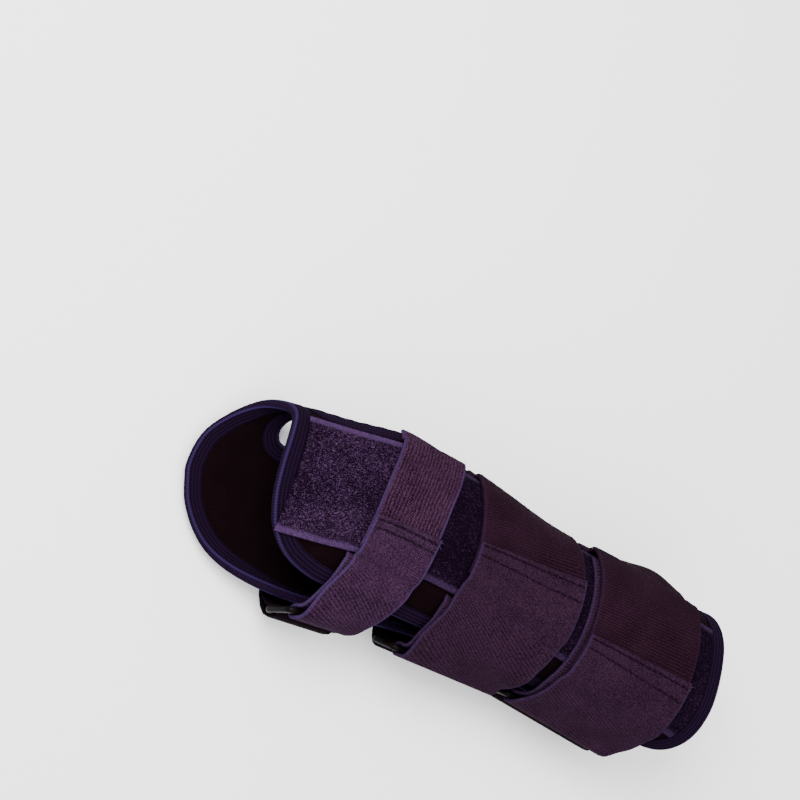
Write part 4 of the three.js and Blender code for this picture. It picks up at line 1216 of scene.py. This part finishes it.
def holderPiece(strap):
    thick = ring["holder"]
    half = thick / 2
    inward = intoMaterial(outlinePlaces)
    x = outlinePlaces[:, 0] + inward[:, 0] * binding["width"]
    across = (x - strap.ringX) / strap.dx
    near = np.abs(across) < strap.width / 2 + binding["width"] / 2
    onBack = near & (outlinePlaces[:, 1] > webbing["backFrom"])
    inner = (outlinePlaces[:, 1] - 1) * shape.girth(outlinePlaces[:, 0])
    inner = inner + inward[:, 1] * binding["width"]
    reach = (strap.around + strap.dAround * across - inner)[onBack].max()
    leave = max(ring["bar"] + 2 * form["gap"], reach + 3 * binding["play"])
    near = leave + binding["width"] / 2
    far = near + ring["holderReach"]

    def flapRow(back, across, height):
        at = strap.ringX + strap.dx * across + strap.dAround * back
        around = strap.around + strap.dAround * across - strap.dx * back
        return shape.point(at, around, np.full(across.shape, height))

    def height(back):
        return float(rampSmooth(back, leave, near, onBinding, onWall)) + half

    def rowAt(across):
        stops = spacedStops([far, near, leave], webbing["step"])
        top = [flapRow(b, across, height(b) + thick + form["gap"]) for b in stops]
        pin = hairpin(strap, 1, across, thick)
        low = [flapRow(b, across, height(b)) for b in stops[::-1]]
        rows = top + blendRows(top[-1], pin[0], top[-2], pin[1], 3) + pin
        rows += blendRows(pin[-1], low[0], pin[-2], low[1], 3) + low
        return np.array(rows)

    lengths = rowLengths(rowAt(np.array([0.0]))[:, 0])
    name = f"holder_{strap.name}"
    piece = bandPiece(name, rowAt, lengths, strap.width, thick, webbing["cell"],
                      radius=webbing["round"])
    return wear(piece, webbingFinish, "webbing", f"ring_holder_{strap.name}")


# Loose thread ends beside the seams
threads = {
    "count": 4,
    "spread": 0.0022,  # along the strap, from the sewn end
    "root": 0.0004,  # in from the strap's edge
    "length": (0.0005, 0.0016),
    "bend": (-0.5, 0.7),  # up and along, as shares of the length
    "curl": (-1, 1),
    "thick": 0.00024,
    "taper": 0.6,
    "cells": 7,
    "sides": 6,
}


def threadPiece(strap, seed):
    maker = np.random.default_rng(seed)
    cells, sides = threads["cells"], threads["sides"]
    turn = np.linspace(0, 2 * math.pi, sides, endpoint=False)
    lift = layerStep if strap.underEnd is not None else 0.0
    high = onTape + lift + straps["tab"]
    points, cloth, quads = [], [], []
    for k in range(threads["count"]):
        at = strap.joint - maker.uniform(0, threads["spread"])
        start = strap.row(at, np.array([strap.width / 2 - threads["root"]]), np.array([high]))[0]
        side = strap.row(at, np.array([strap.width / 2]), np.array([high]))[0] - start
        side /= np.linalg.norm(side)
        up = shape.outward(start[0], at)
        along = np.cross(side, up)
        length = maker.uniform(*threads["length"])
        bend, curl = maker.uniform(*threads["bend"]), maker.uniform(*threads["curl"])
        section = np.cos(turn)[:, None] * up + np.sin(turn)[:, None] * along
        for t in np.linspace(0, 1, cells):
            middle = start + side * length * t + (up * bend + along * curl) * length * t**2
            radius = threads["thick"] / 2 * (1 - threads["taper"] * t)
            points.append(middle + section * radius)
            cloth.append(np.full((sides, 3), (length * t, 0.0, 0.0)))
        quads.append(tubeQuads(cells, sides, False) + k * cells * sides)
    name = f"threads_{strap.name}"
    piece = meshPiece(name, np.concatenate(points), np.concatenate(quads), np.concatenate(cloth))
    return wear(piece, threadFinish, "elastic")


# Moulded rings: cells of the rounded corners and edges, and angles in degrees
moulding = {"cornerCells": 6, "roundCells": 4, "facing": 0.9, "smooth": 40, "sharp": 60}


def ringPiece(strap):
    # A flat bar with round corners, opened by a slot and rounded on every edge
    bpy.ops.object.select_all(action="DESELECT")
    bpy.ops.mesh.primitive_cube_add(size=1)
    piece = bpy.context.object
    piece.name = f"ring_moulding_{strap.name}"
    length, wide, thick = strap.ringLength, ring["wide"], ring["thick"]
    bpy.ops.object.mode_set(mode="EDIT")
    bpy.ops.transform.resize(value=(length, wide, thick))
    selectEdges(piece, uprightEdge)
    corners = moulding["cornerCells"]
    bpy.ops.mesh.bevel(offset=ring["corner"], segments=corners, affect="EDGES")
    selectFaces(piece, flatFace)
    bpy.ops.mesh.inset(thickness=ring["endBar"])
    slotShare = (wide / 2 - ring["bar"]) / (wide / 2 - ring["endBar"])
    bpy.ops.transform.resize(value=(1, slotShare, 1))
    bpy.ops.mesh.bridge_edge_loops()
    selectEdges(piece, sharpEdge)
    rounds = moulding["roundCells"]
    bpy.ops.mesh.bevel(offset=ring["round"], segments=rounds, affect="EDGES", clamp_overlap=True)
    bpy.ops.object.mode_set(mode="OBJECT")
    bpy.ops.object.shade_smooth_by_angle(angle=math.radians(moulding["smooth"]))
    columns = (strap.bar, strap.towardsBack, strap.normal, strap.centre + formPlace)
    place = Matrix([*zip(*columns), (0, 0, 0, 1)])
    piece.data.transform(place)
    if place.determinant() < 0:
        piece.data.flip_normals()
    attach(piece, "root")
    return wear(piece, plasticFinish, "plastic", f"ring_{strap.name}")


def selectEdges(piece, wanted):
    # Select the edges that a test of direction and faces' normals picks
    bpy.ops.mesh.select_mode(type="EDGE")
    bpy.ops.mesh.select_all(action="DESELECT")
    bpy.ops.object.mode_set(mode="OBJECT")
    mesh = piece.data
    normals = {}
    for face in mesh.polygons:
        for key in face.edge_keys:
            normals.setdefault(key, []).append(face.normal.copy())
    for edge in mesh.edges:
        a, b = [mesh.vertices[k].co for k in edge.vertices]
        edge.select = bool(wanted((b - a).normalized(), normals[edge.key]))
    bpy.ops.object.mode_set(mode="EDIT")


def selectFaces(piece, wanted):
    bpy.ops.mesh.select_mode(type="FACE")
    bpy.ops.mesh.select_all(action="DESELECT")
    bpy.ops.object.mode_set(mode="OBJECT")
    for face in piece.data.polygons:
        face.select = bool(wanted(face))
    bpy.ops.object.mode_set(mode="EDIT")


def uprightEdge(way, normals):
    return abs(way.z) > moulding["facing"]


def flatFace(face):
    return abs(face.normal.z) > moulding["facing"]


def sharpEdge(way, normals):
    return len(normals) == 2 and normals[0].angle(normals[1]) > math.radians(moulding["sharp"])


for strap in allStraps:
    elasticPiece(strap)
    tabPiece(strap)
    holderPiece(strap)
    ringPiece(strap)
threadPiece(forearmStrap, seed=4)
threadPiece(palmStrap, seed=9)
print("straps built")


# Floor, light and camera. Scale is the picture's pixels to the metre, lights are place, size
# and power, and the leans are the camera's angles from straight above, in degrees.
studio = {
    "floorSize": 6.0,
    "floorShade": (250, 250, 251),
    "targetHeight": 0.022,
    "targetPixel": (456, 577),
    "picture": 800,
    "scale": 2550.0,
    "fieldOfView": 22.0,
    "leanAlong": 24.0,
    "leanAcross": 13.0,
    "roll": 28.5,
    "nearest": 0.01,
    "lights": {
        "key": ((-0.5, 0.25, 0.75), 0.6, 16),
        "fill": ((-0.2, -1.2, 1.1), 1.4, 14),
        "top": ((0.1, 0.1, 1.9), 1.6, 18),
    },
    "worldShade": (0.95, 0.95, 1.0, 1),
    "worldStrength": 1.3,
}


def makeFloor():
    bpy.ops.mesh.primitive_plane_add(size=studio["floorSize"], location=(0, 0, 0))
    floor = bpy.context.object
    floor.name = "floor"
    made = Finish("floor", Roughness=0.9)
    floor.data.materials.append(made.finish(shade(*studio["floorShade"])))


def makeLight(name, place, size, power):
    light = bpy.data.lights.new(name, "AREA")
    light.shape = "DISK"
    light.size = size
    light.energy = power
    lamp = bpy.data.objects.new(name, light)
    lamp.location = place
    lamp.rotation_mode = "QUATERNION"
    lamp.rotation_quaternion = (-Vector(place)).to_track_quat("-Z", "Y")
    bpy.context.scene.collection.objects.link(lamp)


def makeCamera():
    # Back points from the splint to the camera, and the roll sets the splint aslant
    angles = ("leanAlong", "leanAcross", "roll")
    along, across, roll = [math.radians(studio[key]) for key in angles]
    level = math.cos(along)
    back = Vector((-math.sin(along), -math.sin(across) * level, math.cos(across) * level))
    flatX = (Vector((1, 0, 0)) - back * back.x).normalized()
    flatY = back.cross(flatX)
    right = flatX * math.cos(roll) + flatY * math.sin(roll)
    up = flatY * math.cos(roll) - flatX * math.sin(roll)
    half = math.radians(studio["fieldOfView"]) / 2
    focal = studio["picture"] / 2 / math.tan(half)
    distance = focal / studio["scale"]
    shiftX = (studio["targetPixel"][0] - studio["picture"] / 2) / studio["scale"]
    shiftY = (studio["targetPixel"][1] - studio["picture"] / 2) / studio["scale"]
    camera = bpy.data.cameras.new("camera")
    camera.lens_unit = "FOV"
    camera.angle = math.radians(studio["fieldOfView"])
    camera.clip_start = studio["nearest"]
    stand = bpy.data.objects.new("camera", camera)
    turn = Matrix((right, up, back)).transposed()
    target = Vector(formPlace) + Vector((0, 0, studio["targetHeight"]))
    aim = target - right * shiftX + up * shiftY
    stand.location = aim + back * distance
    stand.rotation_mode = "QUATERNION"
    stand.rotation_quaternion = turn.to_quaternion()
    bpy.context.scene.collection.objects.link(stand)
    bpy.context.scene.camera = stand


makeFloor()
for name, (place, size, power) in studio["lights"].items():
    makeLight(name, place, size, power)
world = bpy.data.worlds.new("studio")
world.use_nodes = True
background = world.node_tree.nodes["Background"]
background.inputs["Color"].default_value = studio["worldShade"]
background.inputs["Strength"].default_value = studio["worldStrength"]
bpy.context.scene.world = world
makeCamera()
print("studio ready")
